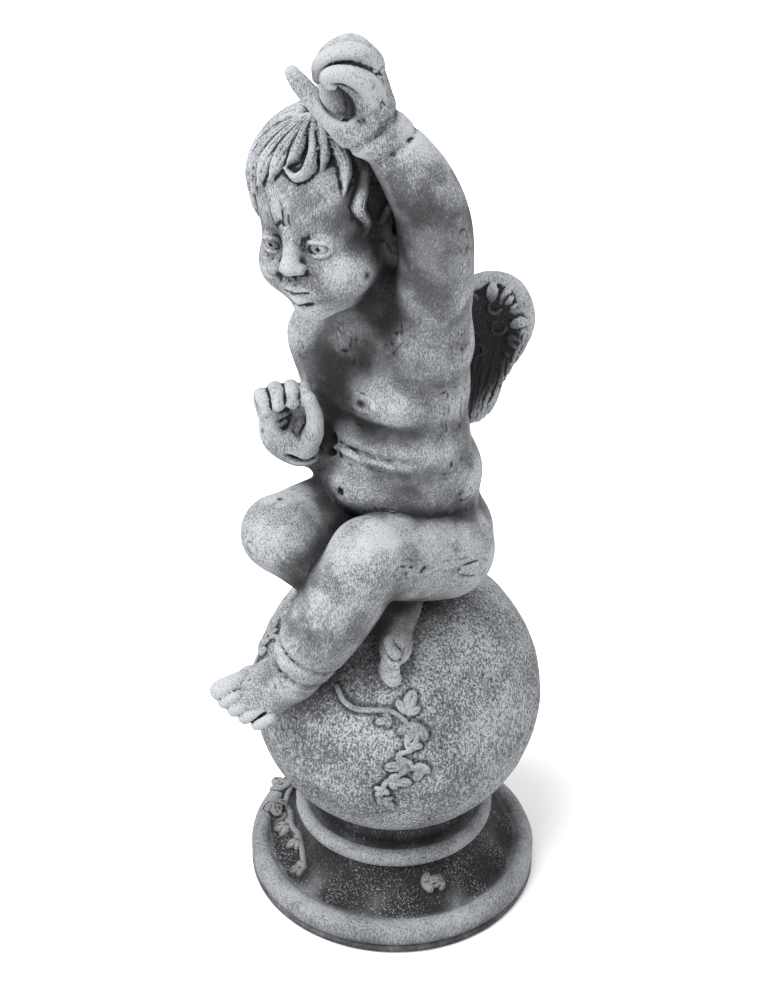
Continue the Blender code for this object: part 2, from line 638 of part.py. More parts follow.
def foot_profile():
    """The turned foot from its top, inside the ball, down its outside to the middle of the underside."""
    bead = COLLAR_THICKNESS / 2
    rim = RIM_WIDTH / 2
    foot_bead = FOOT_HEIGHT / 7
    top = COLLAR_TOP + NECK_LENGTH
    points = [(0.0, top + BALL_SINK / 2), (NECK_RADIUS, top + BALL_SINK / 2)]
    points += [(NECK_RADIUS, COLLAR_TOP - bead / 2), (COLLAR_RADIUS - 1.6 * bead, COLLAR_TOP - bead / 2)]
    points += arc((COLLAR_RADIUS - bead, WAIST_HEIGHT + bead), bead, 90, -90, 6)
    for share in np.linspace(0, 1, 6):
        radius = WAIST_RADIUS + (DISH_RADIUS - WAIST_RADIUS) * share
        points.append((radius, cove_height(radius) - (bead / 5 if share == 0 else 0)))
    points += arc((FOOT_RADIUS - rim, FOOT_HEIGHT - rim), rim, 150, 0, 6)
    points.append((FOOT_RADIUS, 2.6 * foot_bead))
    points.append((FOOT_RADIUS - 0.6 * foot_bead, 2.0 * foot_bead))
    points += arc((FOOT_RADIUS - foot_bead, foot_bead), foot_bead, 60, -60, 4)
    points += [(FOOT_RADIUS - foot_bead, 0.0), (0.0, 0.0)]
    return points


def mesh_object(name, points, faces):
    """An object in the scene from points in metres."""
    mesh = bpy.data.meshes.new(name)
    mesh.from_pydata([tuple(p) for p in points], [], [tuple(f) for f in faces])
    mesh.update()
    obj = bpy.data.objects.new(name, mesh)
    bpy.context.scene.collection.objects.link(obj)
    return obj


def clay_object(name, clay, scale, lift, triangles):
    """The clay as an object, thinned to a number of triangles."""
    points, faces = skin(clay)
    obj = mesh_object(name, points * scale + vec(0, 0, lift), faces.tolist())
    thin = obj.modifiers.new("Thin", "DECIMATE")
    thin.ratio = triangles / (2 * len(faces))
    thin.use_collapse_triangulate = True
    return obj


def helper(obj):
    """Leaves an object out of the model, except where a Boolean uses it."""
    obj.hide_render = True
    obj.display_type = "WIRE"
    return obj


def turned_foot():
    profile = foot_profile()
    obj = mesh_object("foot_shape", [(r, 0.0, z) for r, z in profile], [])
    obj.data.edges.add(len(profile) - 1)
    for k, edge in enumerate(obj.data.edges):
        edge.vertices = (k, k + 1)
    turn = obj.modifiers.new("Turn", "SCREW")
    turn.steps = turn.render_steps = TURNED_STEPS
    turn.use_merge_vertices = True
    turn.merge_threshold = 0.00001
    return helper(obj)


def ball():
    bpy.ops.mesh.primitive_uv_sphere_add(
        segments=BALL_SEGMENTS, ring_count=BALL_SEGMENTS // 2, radius=BALL_RADIUS, location=(0, 0, BALL_CENTRE)
    )
    obj = bpy.context.object
    obj.name = "ball_shape"
    return helper(obj)


def stone():
    """Weathered grey cast stone."""
    material = bpy.data.materials.new("cast_stone")
    material.use_nodes = True
    shader = material.node_tree.nodes["Principled BSDF"]
    shader.inputs["Base Color"].default_value = (0.20, 0.21, 0.22, 1.0)
    shader.inputs["Roughness"].default_value = 0.85
    shader.inputs["Metallic"].default_value = 0.0
    return material


# Ivy on the ball, as (degrees round, degrees of rise, degrees that the tip turns from up, length in mm).
BALL_LEAVES = (
    (45.5, 27.0, -20, 12.0),
    (39.5, 25.0, 110, 8.0),
    (47.0, 23.0, 185, 12.0),
    (51.0, 22.0, 150, 13.0),
    (46.0, 15.0, -100, 8.0),
    (46.0, 6.5, 100, 11.0),
    (52.0, 6.0, 160, 10.0),
    (40.0, -0.5, -100, 11.0),
    (38.0, -5.0, 150, 8.0),
    (37.0, -10.5, -140, 9.0),
    (-41.0, 20.0, 10, 13.0),
    (-39.0, 30.0, 40, 9.0),
)
BALL_STEM = ((14, 33), (19, 28.5), (25, 26.8), (31, 27.4), (40, 27.5), (46, 23), (49, 14), (43, 10.5), (48, 6),
             (42, 1), (38, -3), (36, -12))
LEFT_STEM = ((-44, 12), (-41, 20), (-38, 30), (-30, 34))
# Ivy on the foot, as (degrees round, share of the way from the waist to the rim, degrees of turn,
# length in mm).
FOOT_LEAVES = (
    (-76, 1.12, 150, 14.0),
    (-64, 1.08, -60, 13.0),
    (-58, 0.65, 170, 17.0),
    (-44, 0.50, 150, 13.0),
    (-27, 0.35, 160, 10.0),
    (-12, 0.62, 140, 9.0),
    (60, 0.35, -90, 11.0),
    (72, 0.40, 90, 9.0),
)
FOOT_STEM = ((-84, 1.1), (-70, 0.9), (-56, 0.55), (-42, 0.45), (-28, 0.35), (-12, 0.6))


def tangent_place(origin, normal, turn):
    """A place on a surface: z out of it, and y the way a leaf points, turned from up by degrees."""
    normal = unit(normal)
    side = unit(np.cross((0, 0, 1), normal))
    up = np.cross(normal, side)
    turn = math.radians(turn)
    tip = math.cos(turn) * up - math.sin(turn) * side
    return Place(origin, np.stack([np.cross(tip, normal), tip, normal], axis=1))


def ball_place(round_, rise, turn=0.0):
    normal = heading(round_, rise)
    return tangent_place(vec(0, 0, BALL_CENTRE / MM) + normal * (BALL_RADIUS / MM), normal, turn)


def foot_place(round_, share, turn=0.0):
    """A place on the foot, by its share of the way from the waist (0) to the rim's inner line (1)."""
    radius = WAIST_RADIUS + (DISH_RADIUS - WAIST_RADIUS) * share
    height = cove_height(radius) if share < 1 else FOOT_HEIGHT
    flat = heading(round_, 0)
    lean = 0.75 if share < 1 else 0.3
    origin = flat * (radius / MM) + vec(0, 0, height / MM)
    return tangent_place(origin, flat * lean + vec(0, 0, 1), turn)


def leaf(clay, place, length):
    """A pointed ivy leaf with two side lobes, thicker along its middle."""
    relief = IVY_RELIEF / MM
    clay.add(ellipsoid(place.at(0, 0.5 * length, 0), (0.30 * length, 0.55 * length, relief), place.axes), 0.5)
    for side in (-1, 1):
        tip = unit((0.8 * side, 0.6, 0))
        axes = place.axes @ np.stack([np.cross(tip, (0, 0, 1)), tip, vec(0, 0, 1)], axis=1)
        clay.add(ellipsoid(place.at(*(0.30 * length * tip)), (0.22 * length, 0.38 * length, relief), axes), 0.5)


def ivy_clay(pitch):
    """Ivy relief in millimetres: leaves and stems half sunk in the ball and the foot."""
    reach = max(FOOT_RADIUS, BALL_RADIUS) / MM + 8
    clay = Clay((-reach, -reach, -4), (reach, reach, SEAT_HEIGHT / MM), pitch)
    relief = IVY_RELIEF / MM
    for round_, rise, turn, length in BALL_LEAVES:
        leaf(clay, ball_place(round_, rise, turn), length)
    for round_, share, turn, length in FOOT_LEAVES:
        leaf(clay, foot_place(round_, share, turn), length)
    for stem in (BALL_STEM, LEFT_STEM):
        clay.rod([ball_place(*spot).origin for spot in stem], [0.7 * relief] * 2, 0.5)
    clay.rod([foot_place(*spot).origin for spot in FOOT_STEM], [0.8 * relief] * 2, 0.5)
    return clay


def main():
    for obj in list(bpy.data.objects):
        bpy.data.objects.remove(obj)
    figurine = clay_object("angel_figurine", child_clay(CLAY_PITCH / UNIT), UNIT, SEAT_HEIGHT, CHILD_TRIANGLES)
    ivy = helper(clay_object("ivy_shape", ivy_clay(CLAY_PITCH / MM), MM, 0.0, IVY_TRIANGLES))
    for other in (ball(), turned_foot(), ivy):
        join = figurine.modifiers.new("Join " + other.name, "BOOLEAN")
        join.operation = "UNION"
        join.object = other
    figurine.data.materials.append(stone())


if __name__ == "__main__":
    main()
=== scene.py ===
"""Looks of the angel figurine: a winged child on a ball on a turned foot, cast in weathered grey stone.

Metres, +Z up, as the frame has it. The child and the ivy are modelled like clay: rounded shapes are
pressed together in a grid of distances, fine creases are cut into it, and the grid is skinned. The ball
and the foot are turned and worn in code. Each mesh carries masks of its hollows, which the stone reads for
dark wash and painted shade.
"""

import math

import bpy
import numpy as np
from mathutils import Matrix, Vector


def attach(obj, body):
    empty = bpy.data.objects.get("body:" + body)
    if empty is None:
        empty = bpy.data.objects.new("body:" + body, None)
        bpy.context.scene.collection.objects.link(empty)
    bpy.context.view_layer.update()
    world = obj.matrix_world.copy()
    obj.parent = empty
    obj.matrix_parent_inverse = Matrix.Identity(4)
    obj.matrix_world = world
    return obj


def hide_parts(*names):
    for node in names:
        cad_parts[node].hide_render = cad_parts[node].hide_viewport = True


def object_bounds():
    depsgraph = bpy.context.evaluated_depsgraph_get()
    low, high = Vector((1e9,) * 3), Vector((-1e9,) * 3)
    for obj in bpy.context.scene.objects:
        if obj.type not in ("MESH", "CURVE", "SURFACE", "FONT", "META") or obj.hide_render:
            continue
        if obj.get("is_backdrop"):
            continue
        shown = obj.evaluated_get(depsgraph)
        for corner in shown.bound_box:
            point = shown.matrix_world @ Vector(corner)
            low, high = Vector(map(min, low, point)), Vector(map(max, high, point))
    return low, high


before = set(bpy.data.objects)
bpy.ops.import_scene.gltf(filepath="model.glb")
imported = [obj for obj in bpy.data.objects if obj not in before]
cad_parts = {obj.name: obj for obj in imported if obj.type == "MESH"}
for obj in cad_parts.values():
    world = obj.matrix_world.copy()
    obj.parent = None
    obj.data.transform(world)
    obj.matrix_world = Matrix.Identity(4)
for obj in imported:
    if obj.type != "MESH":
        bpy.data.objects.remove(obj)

NODE = "angel_figurine"
BODY = "root"
CAD_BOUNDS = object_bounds()

# Driving sizes of the turned foot and the ball, in metres, as the solid has them.
FOOT_RADIUS = 0.0813
FOOT_HEIGHT = 0.0185
RIM_WIDTH = 0.0110
DISH_RADIUS = FOOT_RADIUS - RIM_WIDTH
DISH_DEPTH = 0.0030
WAIST_RADIUS = 0.0475
WAIST_HEIGHT = 0.0375
COLLAR_RADIUS = 0.0558
COLLAR_THICKNESS = 0.0105
NECK_RADIUS = 0.0432
NECK_LENGTH = 0.0085
BALL_RADIUS = 0.0786
CHILD_HEIGHT = 0.2960
IVY_RELIEF = 0.0024

COLLAR_TOP = WAIST_HEIGHT + COLLAR_THICKNESS
BALL_SINK = BALL_RADIUS - math.sqrt(BALL_RADIUS**2 - NECK_RADIUS**2)
BALL_CENTRE = COLLAR_TOP + NECK_LENGTH + BALL_RADIUS - BALL_SINK
SEAT_HEIGHT = BALL_CENTRE + BALL_RADIUS

# How finely the clay is sampled, in metres, and how many triangles each piece keeps.
CHILD_PITCH = 0.00065
IVY_PITCH = 0.00055
CHILD_TRIANGLES = 196000
IVY_TRIANGLES = 90000
# Steps round the ball and the foot, and the spacing along the foot's profile in metres.
BALL_STEPS = 340
FOOT_STEPS = 420
FOOT_SPACING = 0.0022
# Recesses are read from a coarse grid of the whole figurine, in millimetres, blurred over so many cells; the
# stone darkens them with wash and painted shade.
WHOLE_PITCH = 2.0
RECESS_CELLS = 5

# The child's own unit: a 296th of its height, which is 1 mm at the real size.
UNIT = CHILD_HEIGHT / 296.0
MM = 0.001
# Room left round each shape in the clay, beyond the reach of its blend.
WINDOW_ROOM = 8.0
# A distance beyond all others, and how far a line from inside is followed to the clay's surface.
FAR = 1000.0
LONGEST_REACH = 60.0


# Joints of the child, in its own units from the seat (the top of the ball).
PELVIS = (2, 5, 27)
BELLY = (0, 2, 62)
CHEST = (-5, -3, 111)
NECK = (-10, -8, 143)
HEAD = (-19, -37, 208)
LEFT_SHOULDER = (20, -5, 143)
LEFT_ELBOW = (33.5, -21, 212)
LEFT_FOREARM = (28, -28, 235)
LEFT_WRIST = (14, -40, 260.5)
RIGHT_SHOULDER = (-46, -8, 124)
RIGHT_ELBOW = (-41, 0, 62)
RIGHT_WRIST = (-27, -46, 82)
LEFT_HIP = (27, 2, 24)
LEFT_KNEE = (29, -56, 46)
LEFT_ANKLE = (-2, -77.5, -30)
RIGHT_HIP = (-23, 2, 24)
RIGHT_KNEE = (-18.5, -70, 45)
RIGHT_ANKLE = (24, -35, 2)

# Degrees. The hands and feet are laid out in a frame turned half to the child's left.
HALF_LEFT = 42.0
HEAD_TURN, HEAD_NOD, HEAD_LEAN = 12.0, 6.0, 9.0

# The skull in the head's own frame: x to its left, y to its back, z up.
SKULL_CENTRE = (0, 7, 11)
SKULL_RADII = (34, 37.5, 34.5)

# Locks seen from the front: places on the skull as (degrees round from the brow, degrees of rise),
# then the width. They all lift off the skull by the same height.
LOCKS = (
    (((68, 78), (82, 52), (87, 28), (79, 5)), 11),
    (((82, 74), (99, 44), (106, 20), (97, -2)), 12),
    (((56, 76), (67, 48), (71, 26), (62, 8)), 9),
    (((46, 78), (53, 54), (55, 33), (48, 12)), 8),
    (((40, 80), (42, 62), (41, 46), (34, 33)), 7),
    (((-36, 76), (-54, 46), (-60, 20), (-53, -8)), 11),
    (((-16, 78), (-36, 54), (-44, 32), (-38, 10)), 10),
    (((0, 80), (-16, 58), (-26, 38), (-28, 18)), 9),
    (((14, 80), (0, 58), (-8, 42), (-14, 26)), 9),
    (((22, 80), (14, 62), (10, 48), (2, 38)), 7),
    (((32, 80), (29, 62), (29, 47), (22, 34), (11, 30), (-1, 37)), 6),
    (((86, 68), (104, 46), (114, 26), (106, 8), (112, -6)), 12),
    (((76, 68), (90, 50), (98, 32), (90, 14), (94, 2)), 12),
    (((66, 50), (78, 36), (76, 22), (84, 8)), 10),
    (((72, 30), (64, 14), (56, 0), (61, -14), (56, -27)), 7),
    (((92, 34), (110, 6), (117, -14), (106, -32)), 11),
)
# Other locks in tiers: first and last degrees round, how many, rise at top and tip,
# lift off the skull, and width.
LOCK_TIERS = (
    (-62, -122, 5, 44, -22, 0.0, 12),
    (118, 242, 8, 0, -62, 0.5, 13),
    (114, 246, 8, 26, -38, 1.5, 13),
    (107, 239, 8, 50, -8, 2.2, 14),
    (-54, -116, 4, 78, 14, 1.6, 12),
    (114, 230, 7, 80, 16, 2.4, 14),
)
FRONT_LIFT = 1.0
LOCK_STRANDS = 4
STRAND_DEPTH = 1.2
LOCK_THICK = 4.4

# The left eye's middle in the head's own frame, the eyeball's radius and the lid's thickness.
EYE_MIDDLE = (12.5, -23.8, -3.8)
EYE_RADIUS = 6.8
LID = 0.9

# Toes from the big one on: how far they reach past the ankle, and how thick they are.
TOES = ((38, 5.2), (38, 4.0), (36, 3.8), (33, 3.6), (29, 3.4))
FIRST_TOE = -10.8
TOE_STEP = 6.1
RIGHT_FOOT_SIZE = 0.88


def vec(*values):
    """A point or direction as an array."""
    return np.array(values, float)


def unit(direction):
    """A direction at length one."""
    direction = np.asarray(direction, float)
    return direction / np.linalg.norm(direction)


def units(directions):
    """Rows of directions at length one."""
    return directions / np.linalg.norm(directions, axis=1)[:, None]


def between(start, end, share):
    """The point at a share of the way from start to end."""
    return np.asarray(start, float) * (1 - share) + np.asarray(end, float) * share


def frame_from(forward, up):
    """Axes as columns: y against forward, z as near up as that allows, and x to the left."""
    back = -unit(forward)
    side = unit(np.cross(back, np.asarray(up, float)))
    return np.stack([side, back, np.cross(side, back)], axis=1)


def heading(turn, rise):
    """A direction from the degrees that it turns from -Y towards +X, and the degrees that it rises."""
    turn, rise = math.radians(turn), math.radians(rise)
    return vec(math.sin(turn) * math.cos(rise), -math.cos(turn) * math.cos(rise), math.sin(rise))


HALF_LEFT_AXES = frame_from(heading(HALF_LEFT, 0), (0, 0, 1))


class Place:
    """A local place: an origin and three axes."""

    def __init__(self, origin, axes):
        self.origin = np.asarray(origin, float)
        self.axes = np.asarray(axes, float)

    def at(self, *point):
        """A local point in the frame around it."""
        return self.origin + self.axes @ np.asarray(point, float)

    def all_at(self, points):
        """Several local points in the frame around it."""
        return [self.at(*point) for point in points]


class Shape:
    """A distance function with the box that holds its surface."""

    def __init__(self, distance, low, high):
        self.distance = distance
        self.low = np.asarray(low, float)
        self.high = np.asarray(high, float)


def ellipsoid(centre, radii, axes=None):
    """A ball stretched to three radii along its own axes."""
    centre = np.asarray(centre, float)
    axes = np.eye(3) if axes is None else np.asarray(axes, float)
    radii = np.asarray(radii, float) * np.ones(3)

    def distance(x, y, z):
        far, steep = 0.0, 0.0
        for axis, radius in zip(axes.T, radii):
            along = axis[0] * (x - centre[0]) + axis[1] * (y - centre[1]) + axis[2] * (z - centre[2])
            far = far + (along / radius) ** 2
            steep = steep + (along / radius**2) ** 2
        far = np.sqrt(far)
        return far * (far - 1.0) / np.sqrt(steep + 1e-9)

    reach = np.sqrt(((axes * radii) ** 2).sum(axis=1))
    return Shape(distance, centre - reach, centre + reach)


def limb(start, end, start_radius, end_radius, bulge=0.0):
    """A tapered rod with round ends, which may bulge between them."""
    start, end = np.asarray(start, float), np.asarray(end, float)
    span = end - start
    length2 = float(span @ span) + 1e-9
    most = max(start_radius, end_radius) + abs(bulge)

    def distance(x, y, z):
        px, py, pz = x - start[0], y - start[1], z - start[2]
        share = np.clip((px * span[0] + py * span[1] + pz * span[2]) / length2, 0.0, 1.0)
        apart = (px - span[0] * share) ** 2 + (py - span[1] * share) ** 2 + (pz - span[2] * share) ** 2
        radius = start_radius + (end_radius - start_radius) * share + 4.0 * bulge * share * (1.0 - share)
        return np.sqrt(apart) - radius

    return Shape(distance, np.minimum(start, end) - most, np.maximum(start, end) + most)


def curve_points(points, steps):
    """Points along a smooth curve through the given ones, with the given steps from each to the next."""
    points = [np.asarray(p, float) for p in points]
    points = [2 * points[0] - points[1], *points, 2 * points[-1] - points[-2]]
    found = []
    for a, b, c, d in zip(points, points[1:], points[2:], points[3:]):
        for t in np.arange(steps) / steps:
            found.append(0.5 * (2 * b + (c - a) * t + (2 * a - 5 * b + 4 * c - d) * t**2
                                + (3 * b - a - 3 * c + d) * t**3))
    return [*found, points[-2]]


def rod_pieces(points, radii, steps=4):
    """The short limbs that make up a rod along a smooth curve, its radius running through given values."""
    line = curve_points(points, steps)
    widths = np.interp(np.linspace(0, 1, len(line)), np.linspace(0, 1, len(radii)), radii)
    return [limb(a, b, ra, rb) for a, b, ra, rb in zip(line, line[1:], widths, widths[1:])]


class Clay:
    """A block of clay: distances to its surface on a regular grid, negative inside."""

    def __init__(self, low, high, pitch):
        self.low = np.asarray(low, float)
        self.pitch = pitch
        self.count = np.ceil((np.asarray(high, float) - self.low) / pitch).astype(int) + 1
        self.field = np.full(self.count, FAR, np.float32)

    def window(self, shape, margin):
        """The part of the grid near a shape: slices, and the coordinates along each axis."""
        margin = margin + WINDOW_ROOM
        first = np.floor((shape.low - margin - self.low) / self.pitch).astype(int).clip(0, self.count)
        last = np.ceil((shape.high + margin - self.low) / self.pitch).astype(int).clip(0, self.count) + 1
        slices = tuple(slice(a, b) for a, b in zip(first, last))
        axes = [
            (self.low[i] + self.pitch * np.arange(self.count[i])[slices[i]]).astype(np.float32)
            for i in range(3)
        ]
        return slices, (axes[0][:, None, None], axes[1][None, :, None], axes[2][None, None, :])

    def join(self, slices, new, blend):
        """Presses distances on, with a fillet of about blend."""
        old = self.field[slices]
        joined = np.minimum(old, new)
        if blend:
            joined -= np.maximum(blend - np.abs(old - new), 0.0) ** 2 / (4 * blend)
        self.field[slices] = joined

    def carve(self, slices, new, blend):
        """Takes distances away, with the edge rounded by about blend."""
        old = self.field[slices]
        left = np.maximum(old, -new)
        if blend:
            left += np.maximum(blend - np.abs(old + new), 0.0) ** 2 / (4 * blend)
        self.field[slices] = left

    def add(self, shape, blend=0.0):
        """Presses a shape on."""
        slices, points = self.window(shape, blend + 3 * self.pitch)
        self.join(slices, shape.distance(*points), blend)

    def cut(self, shape, blend=0.0):
        """Cuts a shape away."""
        slices, points = self.window(shape, blend + 3 * self.pitch)
        self.carve(slices, shape.distance(*points), blend)

    def bundle(self, pieces, margin):
        """Several shapes joined with no fillet between them: slices of the grid, and distances there."""
        low = np.min([piece.low for piece in pieces], axis=0)
        high = np.max([piece.high for piece in pieces], axis=0)
        slices, _ = self.window(Shape(None, low, high), margin)
        mass = np.full(self.field[slices].shape, FAR, np.float32)
        for piece in pieces:
            inner, points = self.window(piece, margin)
            local = tuple(slice(i.start - s.start, i.stop - s.start) for i, s in zip(inner, slices))
            mass[local] = np.minimum(mass[local], piece.distance(*points))
        return slices, mass

    def add_all(self, pieces, blend=0.0):
        """Presses on several shapes as one."""
        self.join(*self.bundle(pieces, blend + 3 * self.pitch), blend)

    def rod(self, points, radii, blend=0.0, steps=4):
        """Adds a rod along a smooth curve."""
        self.add_all(rod_pieces(points, radii, steps), blend)

    def groove(self, points, radii, blend=0.0):
        """Cuts a groove along a smooth curve."""
        self.carve(*self.bundle(rod_pieces(points, radii), blend + 3 * self.pitch), blend)

    def reach(self, start, direction):
        """The point where a line from inside first leaves the clay."""
        steps = np.arange(0, LONGEST_REACH, self.pitch / 2)
        line = np.asarray(start, float) + steps[:, None] * unit(direction)
        at = np.rint((line - self.low) / self.pitch).astype(int).clip(0, self.count - 1)
        return line[np.argmin(self.field[tuple(at.T)] < 0)]

    def scored(self, centre, outs, radius, depth, fades=True):
        """A soft groove where lines from a centre inside leave the clay, which may fade at its ends."""
        shares = np.sin(np.linspace(0, math.pi, len(outs))) ** 0.6 if fades else np.ones(len(outs))
        spots = [
            self.reach(centre, out) + (radius - depth * share) * unit(out) for out, share in zip(outs, shares)
        ]
        self.groove(spots, [radius, radius], 0.8 * radius)

    def crease(self, centre, turns, radius, depth):
        """A soft level groove over a range of degrees round a centre inside."""
        self.scored(centre, [heading(turn, 0) for turn in np.linspace(*turns, 13)], radius, depth)

    def blank(self, low, high):
        """An empty block over a part of the same grid."""
        slices, points = self.window(Shape(None, low, high), 0.0)
        block = Clay(self.low, self.low, self.pitch)
        block.low = vec(*(axis.min() for axis in points))
        starts = [s.start for s in slices]
        block.count = np.array([s.stop - s.start for s in slices]).clip(0, self.count - starts)
        block.field = np.full(block.count, FAR, np.float32)
        return block

    def press(self, other, blend=0.0):
        """Presses another block of the same grid into this one."""
        first = np.rint((other.low - self.low) / self.pitch).astype(int)
        self.join(tuple(slice(a, a + n) for a, n in zip(first, other.count)), other.field, blend)


def close_pinches(field):
    """Fills grid faces with corners in and out by turns, so that no skin edge is shared by four faces."""
    for _ in range(12):
        inside = field < 0
        found = False
        for axis in range(3):
            flat = np.moveaxis(field, axis, 0)
            i = np.moveaxis(inside, axis, 0)
            a, b, c, d = i[:, :-1, :-1], i[:, 1:, :-1], i[:, :-1, 1:], i[:, 1:, 1:]
            n, j, k = np.nonzero((a == d) & (b == c) & (a != b))
            found = found or len(n) > 0
            for dj in (0, 1):
                for dk in (0, 1):
                    corner = flat[n, j + dj, k + dk]
                    flat[n, j + dj, k + dk] = np.where(corner >= 0, -1e-3, corner)
        if not found:
            return


CORNERS = np.array([(i, j, k) for i in (0, 1) for j in (0, 1) for k in (0, 1)])


def skin(clay):
    """The clay's surface as points and four-sided faces, one point in each grid cell that it crosses."""
    field = clay.field
    close_pinches(field)
    inside = field < 0
    ends = (slice(None, -1), slice(1, None))
    full = sum(inside[ends[i], ends[j], ends[k]].astype(np.int8) for i, j, k in CORNERS)
    where = np.nonzero((full > 0) & (full < 8))
    index = np.full(full.shape, -1, np.int32)
    index[where] = np.arange(len(where[0]))
    values = [field[where[0] + i, where[1] + j, where[2] + k] for i, j, k in CORNERS]
    total, hits = np.zeros((len(where[0]), 3)), np.zeros(len(where[0]))
    for a in range(8):
        for b in range(a + 1, 8):
            if np.abs(CORNERS[a] - CORNERS[b]).sum() != 1:
                continue
            across = (values[a] < 0) != (values[b] < 0)
            drop = np.where(across, values[a] - values[b], 1.0)
            share = np.where(across, values[a] / drop, 0.0)[:, None]
            total += across[:, None] * (CORNERS[a] + share * (CORNERS[b] - CORNERS[a]))
            hits += across
    points = np.stack(where, axis=1) + total / hits[:, None]
    faces = []
    for axis in range(3):
        i = np.moveaxis(inside, axis, 0)
        cell = np.moveaxis(index, axis, 0)
        n, j, k = np.nonzero(i[:-1, 1:-1, 1:-1] != i[1:, 1:-1, 1:-1])
        quad = np.stack([cell[n, j, k], cell[n, j + 1, k], cell[n, j + 1, k + 1], cell[n, j, k + 1]], axis=1)
        outward = i[:-1, 1:-1, 1:-1][n, j, k]
        turned = ~outward if axis != 1 else outward
        quad[turned] = quad[turned][:, ::-1]
        faces.append(quad)
    return clay.low + points * clay.pitch, np.concatenate(faces)


def torso(clay):
    """Pelvis, belly, chest and back of a plump child."""
    lean = frame_from((0, -1, -0.05), (-0.12, 0, 1))
    clay.add(ellipsoid(PELVIS, (43, 37, 30)))
    for side in (-1, 1):
        clay.add(ellipsoid((1 + 18 * side, 13, 22), (23, 24, 25)), 10)
    clay.add(ellipsoid(BELLY, (41, 37, 30)), 12)
    clay.add(ellipsoid(CHEST, (41, 34, 36), lean), 16)
    clay.add(ellipsoid((-3, -5, 84), (38.5, 31.5, 16), lean), 14)
    clay.add(ellipsoid((-8, 4, 128), (37, 26, 20), frame_from((0, -1, 0), (-0.35, 0, 1))), 14)
    # The chest is full, and the round belly hangs over the lap.
    for side in (-1, 1):
        clay.add(ellipsoid((-7 + 17 * side, -22, 115 + 2 * side), (20, 15, 17), lean), 8)
    clay.add(ellipsoid((0, -13, 62), (39, 31.5, 18)), 5)
    clay.cut(ellipsoid((-3, -46, 64), (2.6, 5, 2.4)), 2)


def neck_and_shoulders(clay, head):
    """A short neck that swells into the shoulders and the nape."""
    clay.add(limb(NECK, head.at(0, 8, -30), 22, 20), 8)
    clay.add(limb((-10, 9, 134), head.at(0, 14, -30), 21, 16), 12)
    clay.add(ellipsoid(between(NECK, CHEST, 0.1), (34, 24, 14), frame_from((0, -1, 0), (-0.3, 0, 1))), 12)
    clay.add(limb((-10, -2, 138), LEFT_SHOULDER, 17, 16), 12)
    clay.add(limb((-12, -4, 134), RIGHT_SHOULDER, 17, 18), 10)


def hand(clay, place, palm, fingers, thumb, blend):
    """A chubby hand: a palm as (centre, radii, axes), and fingers and a thumb as curves with their radii."""
    centre, radii, axes = palm
    clay.add(ellipsoid(place.at(*centre), radii, axes), 6)
    for points, thick in fingers:
        clay.rod(place.all_at(points), thick, blend)
    points, thick = thumb
    clay.rod(place.all_at(points), thick, 3)


def left_arm(clay):
    """The raised arm, bent over the head, with the hand hanging forwards from it."""
    upper_arm = between(LEFT_SHOULDER, LEFT_ELBOW, 0.5) + vec(1.5, 0, 0)
    line = [LEFT_SHOULDER, upper_arm, LEFT_ELBOW, LEFT_FOREARM, LEFT_WRIST]
    clay.rod(line, [17.5, 18.2, 17.2, 15.8, 11.5], 14, 16)
    place = Place(LEFT_WRIST, HALF_LEFT_AXES)
    reach = place.axes @ unit((-0.25, 0.08, 0.97))
    palm = ((-3.5, 4, 12), (16, 10, 18), frame_from(place.axes @ vec(-0.97, 0, -0.25), reach))
    fingers = [
        (((-2, -6, 13), (-5, -10.5, 22), (-14, -12.5, 26.5), (-21, -12.5, 25), (-20, -12, 20)),
         (6.0, 5.0, 4.0, 3.6, 3.1)),
        (((-2, -1, 26), (-9, -5, 33), (-17, -6, 33), (-24, -5, 28), (-25, -4, 22)),
         (5.6, 5.0, 4.4, 4.0, 3.3)),
        (((-3, 7, 26), (-10, 6, 33), (-17, 5, 32.5), (-23, 5, 27), (-24, 5, 19)),
         (5.6, 5.0, 4.4, 4.0, 3.4)),
        (((-2, 15, 22), (-10, 15, 28), (-17, 14, 26), (-22, 14, 20), (-22, 13, 14)),
         (5.2, 4.6, 4.2, 3.8, 3.2)),
    ]
    thumb = (((-1, -6, -6), (-9, -8.5, -3), (-17, -10.5, 4), (-25, -11.5, 12),
              (-33, -11.5, 21.5), (-36.5, -10.5, 26)),
             (9.0, 7.6, 6.0, 4.9, 4.2, 3.2))
    clay.add(ellipsoid(place.at(-11, 2, 24), (12, 14.5, 10.5), place.axes), 4)
    hand(clay, place, palm, fingers, thumb, 1.2)
    # The far side of the cupped hand closes it behind the thumb, and the palm is hollow.
    clay.add(ellipsoid(place.at(-15, 13, 10), (12, 4.5, 14), place.axes), 4)
    hollow = frame_from(place.axes @ vec(0, -1, 0), place.axes @ vec(-0.72, 0, 0.69))
    clay.cut(ellipsoid(place.at(-17, -9, 12.5), (5.5, 14, 9.5), hollow), 1.8)


